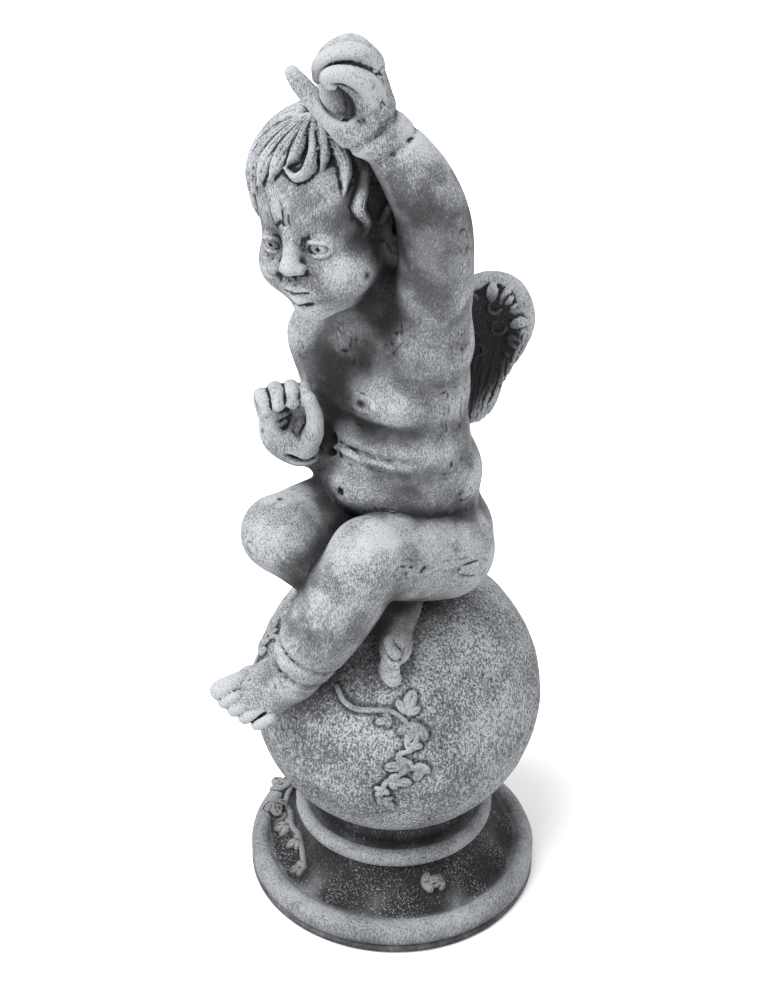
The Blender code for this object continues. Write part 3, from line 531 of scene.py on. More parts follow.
def right_arm(clay):
    """The lowered arm, bent forwards at the elbow, with the open hand held up."""
    clay.add(limb(RIGHT_SHOULDER, RIGHT_ELBOW, 18.5, 14.5, 1.0), 10)
    clay.add(limb(RIGHT_ELBOW, RIGHT_WRIST, 15, 10.5, 1.0), 8)
    place = Place(RIGHT_WRIST, HALF_LEFT_AXES)
    palm = ((-8, -1, 11), (13.5, 8, 18), place.axes)
    fingers = [
        (((-18, -2, 19), (-19.5, -5, 30), (-18, -12, 33), (-16.5, -15, 28)), (4.2, 4.1, 3.8, 3.2)),
        (((-12, -1, 22), (-13, -4, 33), (-11.5, -11, 36), (-10.5, -15, 31)), (4.4, 4.3, 4.0, 3.4)),
        (((-5, -1, 23), (-5.5, -4, 34), (-4.5, -10, 37), (-4, -14, 32)), (4.4, 4.3, 4.0, 3.4)),
        (((1, -1, 21), (1.5, -3, 32), (1, -8, 36), (0, -11, 33)), (4.4, 4.2, 3.8, 3.2)),
    ]
    thumb = (((1, -5, 1), (6, -9, 12), (7, -11, 22), (4.5, -12, 33)), (6.5, 5.2, 4.2, 3.4))
    hand(clay, place, palm, fingers, thumb, 0.8)
    clay.cut(ellipsoid(place.at(-7, -12, 20), (7.5, 8, 10.5), place.axes), 2.5)


def foot(clay, ankle, forward, up, size):
    """A plump foot from its ankle, at a size, with its little toe on the frame's x side."""
    axes = frame_from(forward, up)
    place = Place(ankle, size * axes)
    clay.add(ellipsoid(place.at(0, 5, -8), size * vec(12, 13, 11), axes), 6)
    clay.add(ellipsoid(place.at(0, -13, -6), size * vec(14, 19, 9.5), axes), 6)
    clay.add(ellipsoid(place.at(0, -22, -8), size * vec(15.5, 9, 8), axes), 5)
    for k, (reach, thick) in enumerate(TOES):
        x = FIRST_TOE + TOE_STEP * k
        toe = [(x * 0.85, -20, -6), (x, 8 - reach, -3.2), (x, 3 - reach, -5), (x, -reach, -8)]
        clay.rod(place.all_at(toe), [size * thick, 0.9 * size * thick, size * thick, size * thick], 0.5)
    return place


def legs(clay):
    """Crossed legs: the left shin lies in front of the right one. Gives the places of the feet."""
    clay.add(limb(RIGHT_HIP, RIGHT_KNEE, 26, 19, 1.5), 5)
    clay.add(limb(RIGHT_KNEE, RIGHT_ANKLE, 18, 12, 3.0), 5)
    down = HALF_LEFT_AXES @ vec(-0.12, -0.75, -0.65)
    right = foot(clay, RIGHT_ANKLE, down, HALF_LEFT_AXES @ vec(-1, 0, 0), RIGHT_FOOT_SIZE)
    other = clay.blank((-60, -125, -70), (75, 40, 80))
    other.add(limb(LEFT_HIP, LEFT_KNEE, 27, 20, 1.5))
    other.add(limb(LEFT_KNEE, LEFT_ANKLE, 19, 14, 4.0), 3.5)
    outwards = HALF_LEFT_AXES @ vec(-0.87, -0.3, -0.4)
    left = foot(other, LEFT_ANKLE, outwards, HALF_LEFT_AXES @ vec(0, -0.8, 0.6), 1)
    clay.press(other, 2.5)
    return left, right


def head_place():
    """The head looks a little to its left and down, and leans to its right."""
    lean = math.radians(HEAD_LEAN)
    return Place(HEAD, frame_from(heading(HEAD_TURN, -HEAD_NOD), (-math.sin(lean), 0, math.cos(lean))))


def face(clay, head):
    """A calm infant's face: high brow, eyes below the head's middle, short nose, full cheeks, small chin."""
    axes = head.axes
    clay.add(ellipsoid(head.at(*SKULL_CENTRE), SKULL_RADII, axes), 3)
    clay.add(ellipsoid(head.at(0, -8, -14), (28, 25, 28), axes), 10)
    clay.add(ellipsoid(head.at(0, -14, -35), (17, 15, 9), axes), 6)
    for side in (-1, 1):
        clay.add(ellipsoid(head.at(15 * side, -17, -20), (14, 13, 13), axes), 8)
        clay.cut(ellipsoid(head.at(12.5 * side, -37, -2.5), (9, 7, 5.5), axes), 6)
    clay.add(limb(head.at(0, -30.5, 2), head.at(0, -34.5, -9), 2.6, 3.4), 5)
    clay.add(ellipsoid(head.at(0, -36.6, -11.5), (4.3, 4.0, 3.8), axes), 3)
    for side in (-1, 1):
        clay.add(ellipsoid(head.at(4.3 * side, -34.0, -13), (2.7, 3.4, 2.5), axes), 2)
        clay.add(ellipsoid(head.at(*(EYE_MIDDLE * vec(side, 1, 1))), EYE_RADIUS + LID, axes), 1.5)
    clay.add(ellipsoid(head.at(0, -27, -25), (12, 8, 8), axes), 5)
    clay.rod(head.all_at([(-8, -30.8, -25.8), (-3.4, -34.2, -23.2), (0, -34.3, -23.8), (3.4, -34.2, -23.2),
                          (8, -30.8, -25.8)]), [0.8, 2.0, 1.6, 2.0, 0.8], 1.2)
    clay.rod(head.all_at([(-6.5, -31.2, -27), (0, -33.9, -29), (6.5, -31.2, -27)]), [1.0, 2.5, 1.0], 1.5)
    clay.add(ellipsoid(head.at(0, -24.5, -36.5), (8.5, 8, 7.5), axes), 5)


def ears(clay, head):
    """Both ears: a shell, a rolled rim down to the lobe, and a hollow."""
    for side in (-1, 1):
        clay.add(ellipsoid(head.at(33 * side, 3, -6), (4.5, 7.5, 10.5), head.axes), 3)
        rim = [(33.5, -5, 0), (37, -1, 6), (39, 6, 6), (39.5, 10.5, -1), (37.5, 8, -10), (34, 1, -16)]
        clay.rod(head.all_at([(side * x, y, z) for x, y, z in rim]), [1.8, 2.2, 2.4, 2.4, 2.4, 3.4], 1.2)
        clay.cut(ellipsoid(head.at(39.5 * side, 2, -5), (4, 4.2, 6), head.axes), 1.5)


def skull_point(head, turn, rise):
    """A point on the skull, from degrees round from the brow towards the left ear, and degrees of rise."""
    return head.at(*(vec(*SKULL_CENTRE) + vec(*SKULL_RADII) * heading(turn, rise)))


def lock(clay, head, places, width, lift):
    """A lock laid over the skull along a line: crowned, combed into strands, and drawn out to a point."""
    line = np.array(curve_points([skull_point(head, turn, rise) for turn, rise in places], 4))
    out = units(line - head.at(*SKULL_CENTRE))
    slices, (x, y, z) = clay.window(Shape(None, line.min(axis=0), line.max(axis=0)), 0.6 * width + 5)
    shape = clay.field[slices].shape
    nearest, share, across, rise = (np.full(shape, value, np.float32) for value in (FAR**2, 0, 0, 0))
    for k in range(len(line) - 1):
        tangent = unit(line[k + 1] - line[k])
        side = unit(np.cross(tangent, out[k] + out[k + 1]))
        length = np.linalg.norm(line[k + 1] - line[k])
        along, apart, above = (
            (x - line[k][0]) * axis[0] + (y - line[k][1]) * axis[1] + (z - line[k][2]) * axis[2]
            for axis in (tangent, side, np.cross(side, tangent))
        )
        part = np.clip(along / length, 0, 1)
        away = (along - part * length) ** 2 + apart**2
        near = away < nearest
        nearest[near] = away[near]
        share[near] = (k + part[near]) / (len(line) - 1)
        across[near] = apart[near]
        rise[near] = above[near]
    across = np.sqrt(nearest) * np.sign(across)
    half = 0.5 * width * np.interp(share, (0, 0.15, 0.5, 0.8, 1), (0.4, 0.75, 1.0, 0.72, 0.06))
    part = np.clip(across / half, -1, 1)
    thick = LOCK_THICK * np.interp(share, (0, 0.3, 0.7, 1), (0.7, 1.0, 1.0, 0.5))
    strands = np.abs(np.sin(0.5 * math.pi * LOCK_STRANDS * (part + 1))) - 1
    height = lift + thick * (1 - part**2) ** 0.6 + 0.6 * part
    height += STRAND_DEPTH * strands * np.interp(share, (0, 0.2, 0.85, 1), (0.3, 1, 1, 0))
    height -= 2.5 * np.maximum(np.abs(across) - half, 0)
    clay.join(slices, (rise - height).astype(np.float32), 0.3)


def tier_locks(first, last, count, top, tip, lift, width):
    """A row of wavy locks side by side, as (places, width, lift)."""
    found = []
    for k in range(count):
        turn = first + (last - first) * k / (count - 1)
        wave = 8 if k % 2 else 6
        places = [
            (turn + wave * math.sin(2.4 + 5.5 * share + 0.9 * k), top + (tip - top) * share)
            for share in np.linspace(0, 1, 6)
        ]
        found.append((places, width, lift))
    return found


def hair(whole, head):
    """Short hair in wavy locks from the crown, tousled over the brow and longer at the nape."""
    clay = whole.blank(head.origin - 62, head.origin + 62)
    clay.add(ellipsoid(head.at(0, 8.5, 12), (33.5, 37, 34), head.axes), 2)
    clay.add(ellipsoid(head.at(0, 15, -8), (28, 24, 26), head.axes), 5)
    for tier in LOCK_TIERS:
        for places, width, lift in tier_locks(*tier):
            lock(clay, head, places, width, lift)
    for places, width in LOCKS:
        lock(clay, head, places, width, FRONT_LIFT)
    whole.press(clay, 0.5)


def wing_place(side):
    """A wing's own place: x out along it, y to its back, z up."""
    out = unit(vec(0.58 * side, 0.81, 0))
    axes = np.stack([out, np.cross((0, 0, 1), out) * side, vec(0, 0, 1)], axis=1)
    return Place(vec(-7 + 7 * side, 8, 122), axes)


WING_RIM = ((8, 0, 14), (18, 0, 32), (34, 0, 40), (49, 0, 34.5), (56, 0, 16.5), (51, 0, 0),
            (43, 0, -16), (33, 0, -34))
WING_FEATHERS = 7
# Short feather ends inside the rim: how many, and the degrees from each to the next.
FEATHER_ENDS = 18
FEATHER_END_STEP = 16
# Small curls in the hollow, as (place across, place up, radius, degrees at the start).
WING_CURLS = ((24, 18, 4.2, 20), (41, 14, 3.8, 140), (30, 2, 3.6, 250), (38, 26, 3.4, 60))
CURL_DEGREES = 280


def feather_line(share):
    """The middle line of a long feather in a wing's own place, from the inmost (0) to the outmost (1)."""
    return [(14 + 33 * share, 0.5, 10 - 8 * share), (19 + 26 * share, 1.5, -16 + 6 * share),
            (25 + 14 * share, 1, -44 + 20 * share)]


def wing(whole, place):
    """A short round wing, cupped to the front, with a rounded rim and long feathers down to its tip."""
    middle = place.at(30, 0, 0)
    clay = whole.blank(middle - vec(52, 52, 60), middle + vec(52, 52, 60))
    clay.add(limb(place.at(10, 0, -6), place.at(28, 0, 6), 12, 10), 6)
    clay.add(ellipsoid(place.at(36, 0, 14), (23, 6, 27), place.axes), 5)
    clay.add(ellipsoid(place.at(31, 0, -10), (15, 5.5, 31), place.axes), 5)
    clay.rod(place.all_at(WING_RIM), [3.8, 3.8, 3.8, 3.8, 3.6, 3.0, 2.4], 3, 8)
    for k in range(WING_FEATHERS):
        clay.rod(place.all_at(feather_line(k / (WING_FEATHERS - 1))), [3.4, 4.2, 2.2], 0.8)
    clay.cut(ellipsoid(place.at(34, -9.0, 9), (20, 8, 27), place.axes), 2.0)
    # Two rows of short feathers lie over the long ones on the back.
    for row, (height, count) in enumerate(((6, 5), (22, 4))):
        for k in range(count):
            share = (k + 0.5) / count
            spot = place.at(13 + 40 * share - 4 * row, 4.5 + row, height + 12 * math.sin(math.pi * share) - 6)
            tilt = frame_from(place.axes @ vec(0, 1, 0), place.axes @ vec(-0.5 + 0.75 * share, -0.16, 1))
            clay.add(ellipsoid(spot, (6.5, 2.6, 12), tilt), 0.6)
    wing_details(clay, place)
    whole.press(clay, 4)


def ring(centre, radius, across, up, first=0, last=360, steps=16):
    """Points round a circle from its centre, in the plane of two directions."""
    return [
        np.asarray(centre, float) + radius * (math.cos(a) * np.asarray(across) + math.sin(a) * np.asarray(up))
        for a in np.radians(np.linspace(first, last, steps))
    ]


def eyes(clay, head):
    """Open eyes: lids with soft edges round an almond opening, a fold over them, and a dished iris."""
    axes = head.axes
    for side in (-1, 1):
        middle = EYE_MIDDLE * vec(side, 1, 1)
        opening = frame_from(axes @ vec(0.25 * side, -1, -0.06), axes @ vec(-0.10 * side, 0, 1))
        clay.cut(ellipsoid(head.at(*(middle + vec(0.6 * side, -7.8, -0.5))), (6.6, 4.4, 3.6), opening), 0.4)
        clay.add(ellipsoid(head.at(*middle), EYE_RADIUS, axes))
        gaze = axes @ unit((0.10 * side, -1, -0.10))
        iris = frame_from(gaze, axes[:, 2])
        clay.cut(ellipsoid(head.at(*middle) + gaze * (EYE_RADIUS + 0.5), (2.8, 1.1, 2.8), iris), 0.2)
        clay.cut(ellipsoid(head.at(*middle) + gaze * (EYE_RADIUS - 0.3), (1.2, 1.6, 1.2), iris), 0.2)
        for rise, thick in ((3.8, 0.95), (-3.3, 0.75)):
            edge = []
            for x in (-6.2, -4, -1, 2, 4.8, 6.9):
                z = -0.5 + rise * math.sqrt(max(0.0, 1 - ((x - 0.4) / 6.8) ** 2))
                y = -math.sqrt((EYE_RADIUS + LID) ** 2 - 0.8 * x**2 - z**2) + 0.25 + 0.012 * abs(x) ** 2.4
                edge.append(head.at(*(middle + vec(side * x, y, z))))
            clay.rod(edge, [0.5, thick, thick, 0.5], 0.6)
        fold = [(-5.5, -6.8, 4.0), (-2.5, -7.6, 5.6), (2.5, -7.4, 5.8), (7, -4.2, 3.6)]
        clay.groove([head.at(*(middle + vec(side * x, y, z))) for x, y, z in fold], [0.5, 1.1, 1.1, 0.5], 1.6)


def nose_and_mouth(clay, head):
    """Nostrils, the groove of the upper lip, the line between the lips and the dimples at their ends."""
    for side in (-1, 1):
        clay.cut(ellipsoid(head.at(2.5 * side, -38, -16.4), (1.3, 1.9, 1.3), head.axes), 0.5)
        beside_nose = [(6.3 * side, -36, -10.5), (7.6 * side, -34.2, -13.5), (6.6 * side, -32.6, -16.5)]
        clay.groove(head.all_at(beside_nose), [0.4, 0.8, 0.4], 1.2)
    clay.groove(head.all_at([(0, -36.4, -17.6), (0, -36.2, -21)]), [0.9, 1.1], 1.0)
    line = [(-8.8, -31, -25.4), (-4, -35.2, -24.9), (0, -36, -25.5), (4, -35.2, -24.9), (8.8, -31, -25.4)]
    clay.groove(head.all_at(line), [0.5, 0.9, 1.1, 0.9, 0.5], 0.5)
    clay.groove(head.all_at([(-5, -31.8, -32.2), (0, -33.4, -32.8), (5, -31.8, -32.2)]), [0.6, 1.2, 0.6], 1.8)


def ear_details(clay, head):
    """The inner fold of each ear and its dark opening."""
    for side in (-1, 1):
        fold = [(37, 4, 2.5), (38.8, 6.5, -1), (38, 5.5, -7), (36, 2, -10)]
        clay.rod([head.at(side * x, y, z) for x, y, z in fold], [0.8, 1.2, 1.2, 0.8], 0.5)
        clay.cut(ellipsoid(head.at(36 * side, 0.5, -6), (4.5, 2.2, 3.2), head.axes), 0.8)


def torso_details(clay):
    """Soft creases under the chest and over the belly, and the nipples."""
    for centre, turns, radius, depth in TORSO_CREASES:
        clay.crease(centre, turns, radius, depth)
    for side, height in ((-1, 112), (1, 116)):
        out = heading(34 * side, 0)
        clay.add(ellipsoid(clay.reach((-6, -8, height), out) - 1.0 * out, 1.9), 2.2)


def round_limb(clay, start, end, share, turns, radius, depth):
    """A crease across a limb at a share of its length, over a range of degrees round its line."""
    along = unit(np.subtract(end, start))
    side = unit(np.cross(along, (0, 0, 1) if abs(along[2]) < 0.9 else (0, 1, 0)))
    other = np.cross(along, side)
    outs = [math.cos(a) * side + math.sin(a) * other for a in np.radians(np.linspace(*turns, 17))]
    clay.scored(between(start, end, share), outs, radius, depth, turns[1] - turns[0] < 360)


def limb_creases(clay):
    """The folds of fat at the wrists, knees and ankles, and the lines of the open palm."""
    for start, end, share, turns, radius, depth in LIMB_CREASES:
        round_limb(clay, start, end, share, turns, radius, depth)
    place = Place(RIGHT_WRIST, HALF_LEFT_AXES)
    towards = -place.axes[:, 1]
    for points in PALM_RIDGES:
        spots = [clay.reach(place.at(x, 3, z), towards) - 0.5 * towards for x, z in points]
        clay.rod(spots, [0.3, 1.1, 0.3], 1.6)


def toe_details(clay, place, size):
    """Nails, and dark gaps between the toes and behind them."""
    for k, (reach, thick) in enumerate(TOES):
        x = FIRST_TOE + TOE_STEP * k
        nail = place.at(x, 1.5 - reach, -8 + 0.85 * thick)
        clay.cut(ellipsoid(nail, size * vec(0.55 * thick, 2.0, 1.0), place.axes / size), 0.3)
        if k < len(TOES) - 1:
            beside = x + TOE_STEP / 2
            gap = [(beside, -reach + 2, -6.5), (beside, 8 - reach, -2.5), (beside, -21, 0.5)]
            clay.groove(place.all_at(gap), [1.3 * size, 1.1 * size, 0.5 * size], 0.5)


def wing_details(clay, place):
    """Short feather ends inside the rim, small curls and fine streaks in the hollow, and lines behind."""
    towards = -place.axes[:, 1]
    x, y, z = (
        (clay.low[i] + clay.pitch * np.arange(clay.count[i]) - place.origin[i]).reshape(
            [-1 if j == i else 1 for j in range(3)])
        for i in range(3)
    )
    across = place.axes[0, 0] * x + place.axes[1, 0] * y
    lean = across - 0.16 * (z - 10)
    lines = np.sin(1.25 * lean + 1.6 * np.sin(0.09 * z + 0.3 * across)) * np.sin(0.63 * lean + 2.0)
    fade = np.clip((14 - z) / 16, 0, 1) * np.clip((z + 50) / 10, 0, 1)
    clay.field += (0.8 * np.abs(lines) * fade).astype(np.float32)
    for k in range(FEATHER_ENDS):
        a = math.radians(225 - FEATHER_END_STEP * k + 6 * math.sin(3.7 * k))
        uneven = 0.9 + 0.4 * math.sin(5.1 * k)
        inward = place.axes @ unit((-math.cos(a), 0, -math.sin(a)))
        spot = clay.reach(place.at(35 + 15.5 * math.cos(a), 3, 14 + 20.5 * math.sin(a)), towards)
        clay.add(ellipsoid(spot, (2.3 * uneven, 0.8, 4.4 * uneven), frame_from(towards, inward)), 0.4)
    for u, v, size, turn in WING_CURLS:
        middle = clay.reach(place.at(u, 3, v), towards)
        curl = ring(middle, size, place.axes[:, 0], place.axes[:, 2], turn, turn + CURL_DEGREES, 10)
        clay.rod(curl, [0.5, 1.0, 1.2, 0.8], 0.4)
    for k in range(WING_FEATHERS):
        points = np.array(feather_line((k + 0.5) / WING_FEATHERS)) + vec(0, 4.2, 0)
        clay.groove(place.all_at(points), [0.4, 0.9, 0.5], 0.4)


# Soft creases of the torso: the point inside that they go round, the degrees round,
# their radius and their depth.
TORSO_CREASES = (
    ((-4, -8, 100), (-36, 62), 5.0, 1.8),
    ((-2, -6, 86), (-44, 66), 3.0, 1.7),
    ((-2, -6, 79.5), (-44, 34), 2.4, 1.3),
)
# Folds across limbs: the limb's ends, the share of its length, the degrees round, the radius and the depth.
LIMB_CREASES = (
    (LEFT_FOREARM, LEFT_WRIST, 0.98, (0, 360), 2.4, 1.2),
    (LEFT_FOREARM, LEFT_WRIST, 0.62, (150, 330), 2.0, 0.9),
    (RIGHT_ELBOW, RIGHT_WRIST, 0.92, (0, 360), 2.2, 1.1),
    (LEFT_KNEE, LEFT_ANKLE, 0.93, (0, 360), 2.6, 1.2),
    (LEFT_KNEE, LEFT_ANKLE, 0.78, (0, 360), 2.2, 1.0),
)
# Raised lines in the open palm, as places (to its little finger side, up) in the hand's frame.
PALM_RIDGES = (
    ((-17, 17), (-8, 20), (1, 24)),
    ((-16, 13), (-8, 16), (1, 19)),
    ((-4, 17), (-6, 12), (-10, 7)),
    ((-6, 12), (-3, 8), (-1, 5)),
)


def child_clay(pitch):
    """The whole child in clay, in its own units from the seat."""
    clay = Clay((-85, -125, -85), (85, 110, 305), pitch)
    head = head_place()
    torso(clay)
    neck_and_shoulders(clay, head)
    left_arm(clay)
    right_arm(clay)
    left_foot, right_foot = legs(clay)
    face(clay, head)
    eyes(clay, head)
    nose_and_mouth(clay, head)
    ears(clay, head)
    ear_details(clay, head)
    torso_details(clay)
    limb_creases(clay)
    toe_details(clay, left_foot, 1.0)
    toe_details(clay, right_foot, RIGHT_FOOT_SIZE)
    hair(clay, head)
    for side in (1, -1):
        wing(clay, wing_place(side))
    return clay


def arc(centre, radius, first, last, steps):
    """Points (radius, height) along an arc, by the degrees of its ends: 0 points outwards, and 90 up."""
    return [
        (centre[0] + radius * math.cos(a), centre[1] + radius * math.sin(a))
        for a in np.radians(np.linspace(first, last, steps))
    ]


def cove_height(radius):
    """Height of the dished top of the foot, which sweeps up from the rim to the waist."""
    low = FOOT_HEIGHT - DISH_DEPTH
    share = (DISH_RADIUS - radius) / (DISH_RADIUS - WAIST_RADIUS)
    return low + (WAIST_HEIGHT - low) * min(max(share, 0.0), 1.0) ** 1.7


def foot_profile():
    """The turned foot from its top, inside the ball, down its outside to the middle of the underside."""
    bead = COLLAR_THICKNESS / 2
    rim = RIM_WIDTH / 2
    foot_bead = FOOT_HEIGHT / 7
    top = COLLAR_TOP + NECK_LENGTH
    points = [(0.0, top + BALL_SINK / 2), (NECK_RADIUS, top + BALL_SINK / 2)]
    points += [(NECK_RADIUS, COLLAR_TOP - bead / 2), (COLLAR_RADIUS - 1.6 * bead, COLLAR_TOP - bead / 2)]
    points += arc((COLLAR_RADIUS - bead, WAIST_HEIGHT + bead), bead, 90, -90, 14)
    for share in np.linspace(0, 1, 14):
        radius = WAIST_RADIUS + (DISH_RADIUS - WAIST_RADIUS) * share
        points.append((radius, cove_height(radius) - (bead / 5 if share == 0 else 0)))
    points += arc((FOOT_RADIUS - rim, FOOT_HEIGHT - rim), rim, 150, 0, 14)
    points.append((FOOT_RADIUS, 2.6 * foot_bead))
    points.append((FOOT_RADIUS - 0.6 * foot_bead, 2.0 * foot_bead))
    points += arc((FOOT_RADIUS - foot_bead, foot_bead), foot_bead, 60, -60, 8)
    points += [(FOOT_RADIUS - foot_bead, 0.0), (0.0, 0.0)]
    return np.array(points)


def in_foot(radius, height):
    """True where a place, by radius and height, lies inside the outline of the turned foot."""
    outline = foot_profile()
    inside = np.zeros(np.broadcast(radius, height).shape, bool)
    for (r0, z0), (r1, z1) in zip(outline, np.roll(outline, -1, axis=0)):
        if z0 != z1:
            crosses = (z0 > height) != (z1 > height)
            inside ^= crosses & (radius < r0 + (r1 - r0) * (height - z0) / (z1 - z0))
    return inside


def even_line(points, spacing):
    """The same line with a point about every spacing, its corners kept."""
    found = []
    for a, b in zip(points, points[1:]):
        steps = max(1, round(math.dist(a, b) / spacing))
        found += [between(a, b, k / steps) for k in range(steps)]
    return np.array([*found, points[-1]])


def lattice_noise(points, size, seed):
    """Smooth values from -1 to 1 at points, changing over a size, the same at each run."""
    cell = np.asarray(points) / size + 17.3 * seed
    base = np.floor(cell).astype(np.int64)
    part = cell - base
    part = part * part * (3 - 2 * part)
    total = np.zeros(len(part))
    for corner in CORNERS:
        at = base + corner
        key = (at[:, 0] * 73856093) ^ (at[:, 1] * 19349663) ^ (at[:, 2] * 83492791) ^ (seed * 2654435761)
        key = (key ^ (key >> 13)) * 1274126177 & 0x7FFFFFFF
        key = (key ^ (key >> 16)) & 0xFFFF
        total += (key / 32767.5 - 1.0) * np.prod(np.where(corner, part, 1 - part), axis=1)
    return total


def mesh_object(name, points, faces):
    """An object in the scene from points in metres and faces with equal numbers of corners."""
    faces = np.asarray(faces, np.int32)
    mesh = bpy.data.meshes.new(name)
    mesh.vertices.add(len(points))
    mesh.vertices.foreach_set("co", np.asarray(points, np.float32).ravel())
    mesh.loops.add(faces.size)
    mesh.loops.foreach_set("vertex_index", faces.ravel())
    mesh.polygons.add(len(faces))
    mesh.polygons.foreach_set("loop_start", np.arange(0, faces.size, faces.shape[1], dtype=np.int32))
    mesh.update(calc_edges=True)
    mesh.validate()
    mesh.shade_smooth()
    obj = bpy.data.objects.new(name, mesh)
    bpy.context.scene.collection.objects.link(obj)
    return obj


def points_of(obj):
    """The object's vertices as rows, in metres."""
    found = np.empty(len(obj.data.vertices) * 3, np.float32)
    obj.data.vertices.foreach_get("co", found)
    return found.reshape(-1, 3).astype(float)


def thinned(obj, triangles):
    """Keeps about so many triangles, with the most where the form is finest."""
    ratio = triangles / (2 * len(obj.data.polygons))
    if ratio >= 1:
        return
    thin = obj.modifiers.new("Thin", "DECIMATE")
    thin.ratio = ratio
    thin.use_collapse_triangulate = True
    graph = bpy.context.evaluated_depsgraph_get()
    mesh = bpy.data.meshes.new_from_object(obj.evaluated_get(graph))
    obj.modifiers.remove(thin)
    old, obj.data = obj.data, mesh
    bpy.data.meshes.remove(old)
    mesh.name = obj.name
    mesh.shade_smooth()


def set_mask(obj, name, values):
    """Stores a value for each vertex, which the stone material reads by its name."""
    layer = obj.data.attributes.new(name, "FLOAT", "POINT")
    layer.data.foreach_set("value", np.asarray(values, np.float32))


STEPS = (-1, 0, 1)
AROUND = units(np.array([(i, j, k) for i in STEPS for j in STEPS for k in STEPS if (i, j, k) != (0, 0, 0)]))
SHELLS = (0.4, 0.7, 1.0)


def hollows(clay, points, reach):
    """How much more than half of the space within a reach is solid: above 0 in hollows, below 0 on edges."""
    solid = np.zeros(len(points))
    for shell in SHELLS:
        for way in AROUND:
            at = np.rint((points + shell * reach * way - clay.low) / clay.pitch).astype(int)
            field = clay.field[tuple(at.clip(0, clay.count - 1).T)]
            solid += np.clip(0.5 - field / clay.pitch, 0, 1)
    return 2 * solid / (len(SHELLS) * len(AROUND)) - 1


def blurred(solid, cells):
    """A grid blurred over so many cells to each side, twice."""
    for axis in (0, 1, 2, 0, 1, 2):
        pad = [(0, 0)] * 3
        pad[axis] = (cells + 1, cells)
        total = np.cumsum(np.pad(solid, pad, mode="edge"), axis=axis, dtype=np.float64)
        count = solid.shape[axis]
        upper = np.take(total, np.arange(2 * cells + 1, 2 * cells + 1 + count), axis=axis)
        solid = (upper - np.take(total, np.arange(count), axis=axis)) / (2 * cells + 1)
    return solid


def sampled(grid, low, pitch, points):
    """Values of a grid at points, mixed from the eight corners of the cell round each."""
    at = ((points - low) / pitch).clip(0, np.array(grid.shape) - 1.001)
    base = np.floor(at).astype(int)
    part = at - base
    total = 0.0
    for corner in CORNERS:
        total = total + grid[tuple((base + corner).T)] * np.prod(np.where(corner, part, 1 - part), axis=1)
    return total


class Recesses:
    """Tells how deep in a recess of the whole figurine points lie: above 0 inside, below 0 in the open."""

    def __init__(self, clay):
        self.low = clay.low
        self.pitch = clay.pitch
        self.solid = blurred((0.5 - clay.field / clay.pitch).clip(0, 1), RECESS_CELLS)

    def at(self, points):
        return 2 * sampled(self.solid, self.low, self.pitch, points / MM) - 1


def whole_clay(pitch):
    """The whole figurine, coarsely, in millimetres: it tells how deep in a recess each point lies."""
    clay = Clay((-96, -130, -12), (96, 112, 512), pitch)
    child = child_clay(pitch)
    seat = vec(0, 0, SEAT_HEIGHT / MM)
    first = np.rint((child.low + seat - clay.low) / pitch).astype(int)
    clay.join(tuple(slice(a, a + n) for a, n in zip(first, child.count)), child.field, 0.0)
    clay.add(ellipsoid((0, 0, BALL_CENTRE / MM), BALL_RADIUS / MM))
    x, y, z = (clay.low[i] + pitch * np.arange(clay.count[i]) for i in range(3))
    low = z * MM < COLLAR_TOP + NECK_LENGTH
    radius = np.hypot(x[:, None, None], y[None, :, None]) * MM
    turned = in_foot(radius, z[low][None, None, :] * MM)
    clay.field[:, :, low] = np.where(turned, -pitch, clay.field[:, :, low])
    clay.field[:, :, z < 0] = -pitch
    return clay


def uneven_ball():
    """The ball: a slightly uneven sphere of cement, smoother low down on one side."""
    turns = np.linspace(0, 2 * math.pi, BALL_STEPS, endpoint=False)
    rises = np.linspace(-math.pi / 2, math.pi / 2, BALL_STEPS // 2)[1:-1]
    rise, turn = np.meshgrid(rises, turns, indexing="ij")
    level = np.cos(rise)
    out = np.stack([level * np.cos(turn), level * np.sin(turn), np.sin(rise)], axis=-1).reshape(-1, 3)
    out = np.concatenate([out, [(0, 0, -1), (0, 0, 1)]])
    smooth = np.clip((out @ heading(-38, -38) - 0.55) / 0.3, 0, 1)
    rough = 1 - 0.8 * smooth
    at = out * BALL_RADIUS / MM
    relief = 0.30 * lattice_noise(at, 23.0, 1) + rough * 0.16 * lattice_noise(at, 6.0, 2)
    relief += rough * 0.16 * lattice_noise(at, 2.9, 3)
    points = out * (BALL_RADIUS + MM * relief[:, None]) + vec(0, 0, BALL_CENTRE)
    return closed_grid("ball", points, len(rises), BALL_STEPS)


def closed_grid(name, points, rows, columns):
    """A closed mesh from rows of points round the axis, and last its lower and upper poles."""
    cell = np.arange(rows * columns).reshape(rows, columns)
    right = np.roll(cell, -1, axis=1)
    sides = np.stack([cell[:-1], right[:-1], right[1:], cell[1:]], axis=-1).reshape(-1, 4)
    triangles = np.concatenate([sides[:, [0, 1, 2]], sides[:, [0, 2, 3]]])
    below, above = rows * columns, rows * columns + 1
    lower = np.stack([np.full(columns, below), right[0], cell[0]], axis=1)
    upper = np.stack([np.full(columns, above), cell[-1], right[-1]], axis=1)
    return mesh_object(name, points, np.concatenate([triangles, lower, upper]))


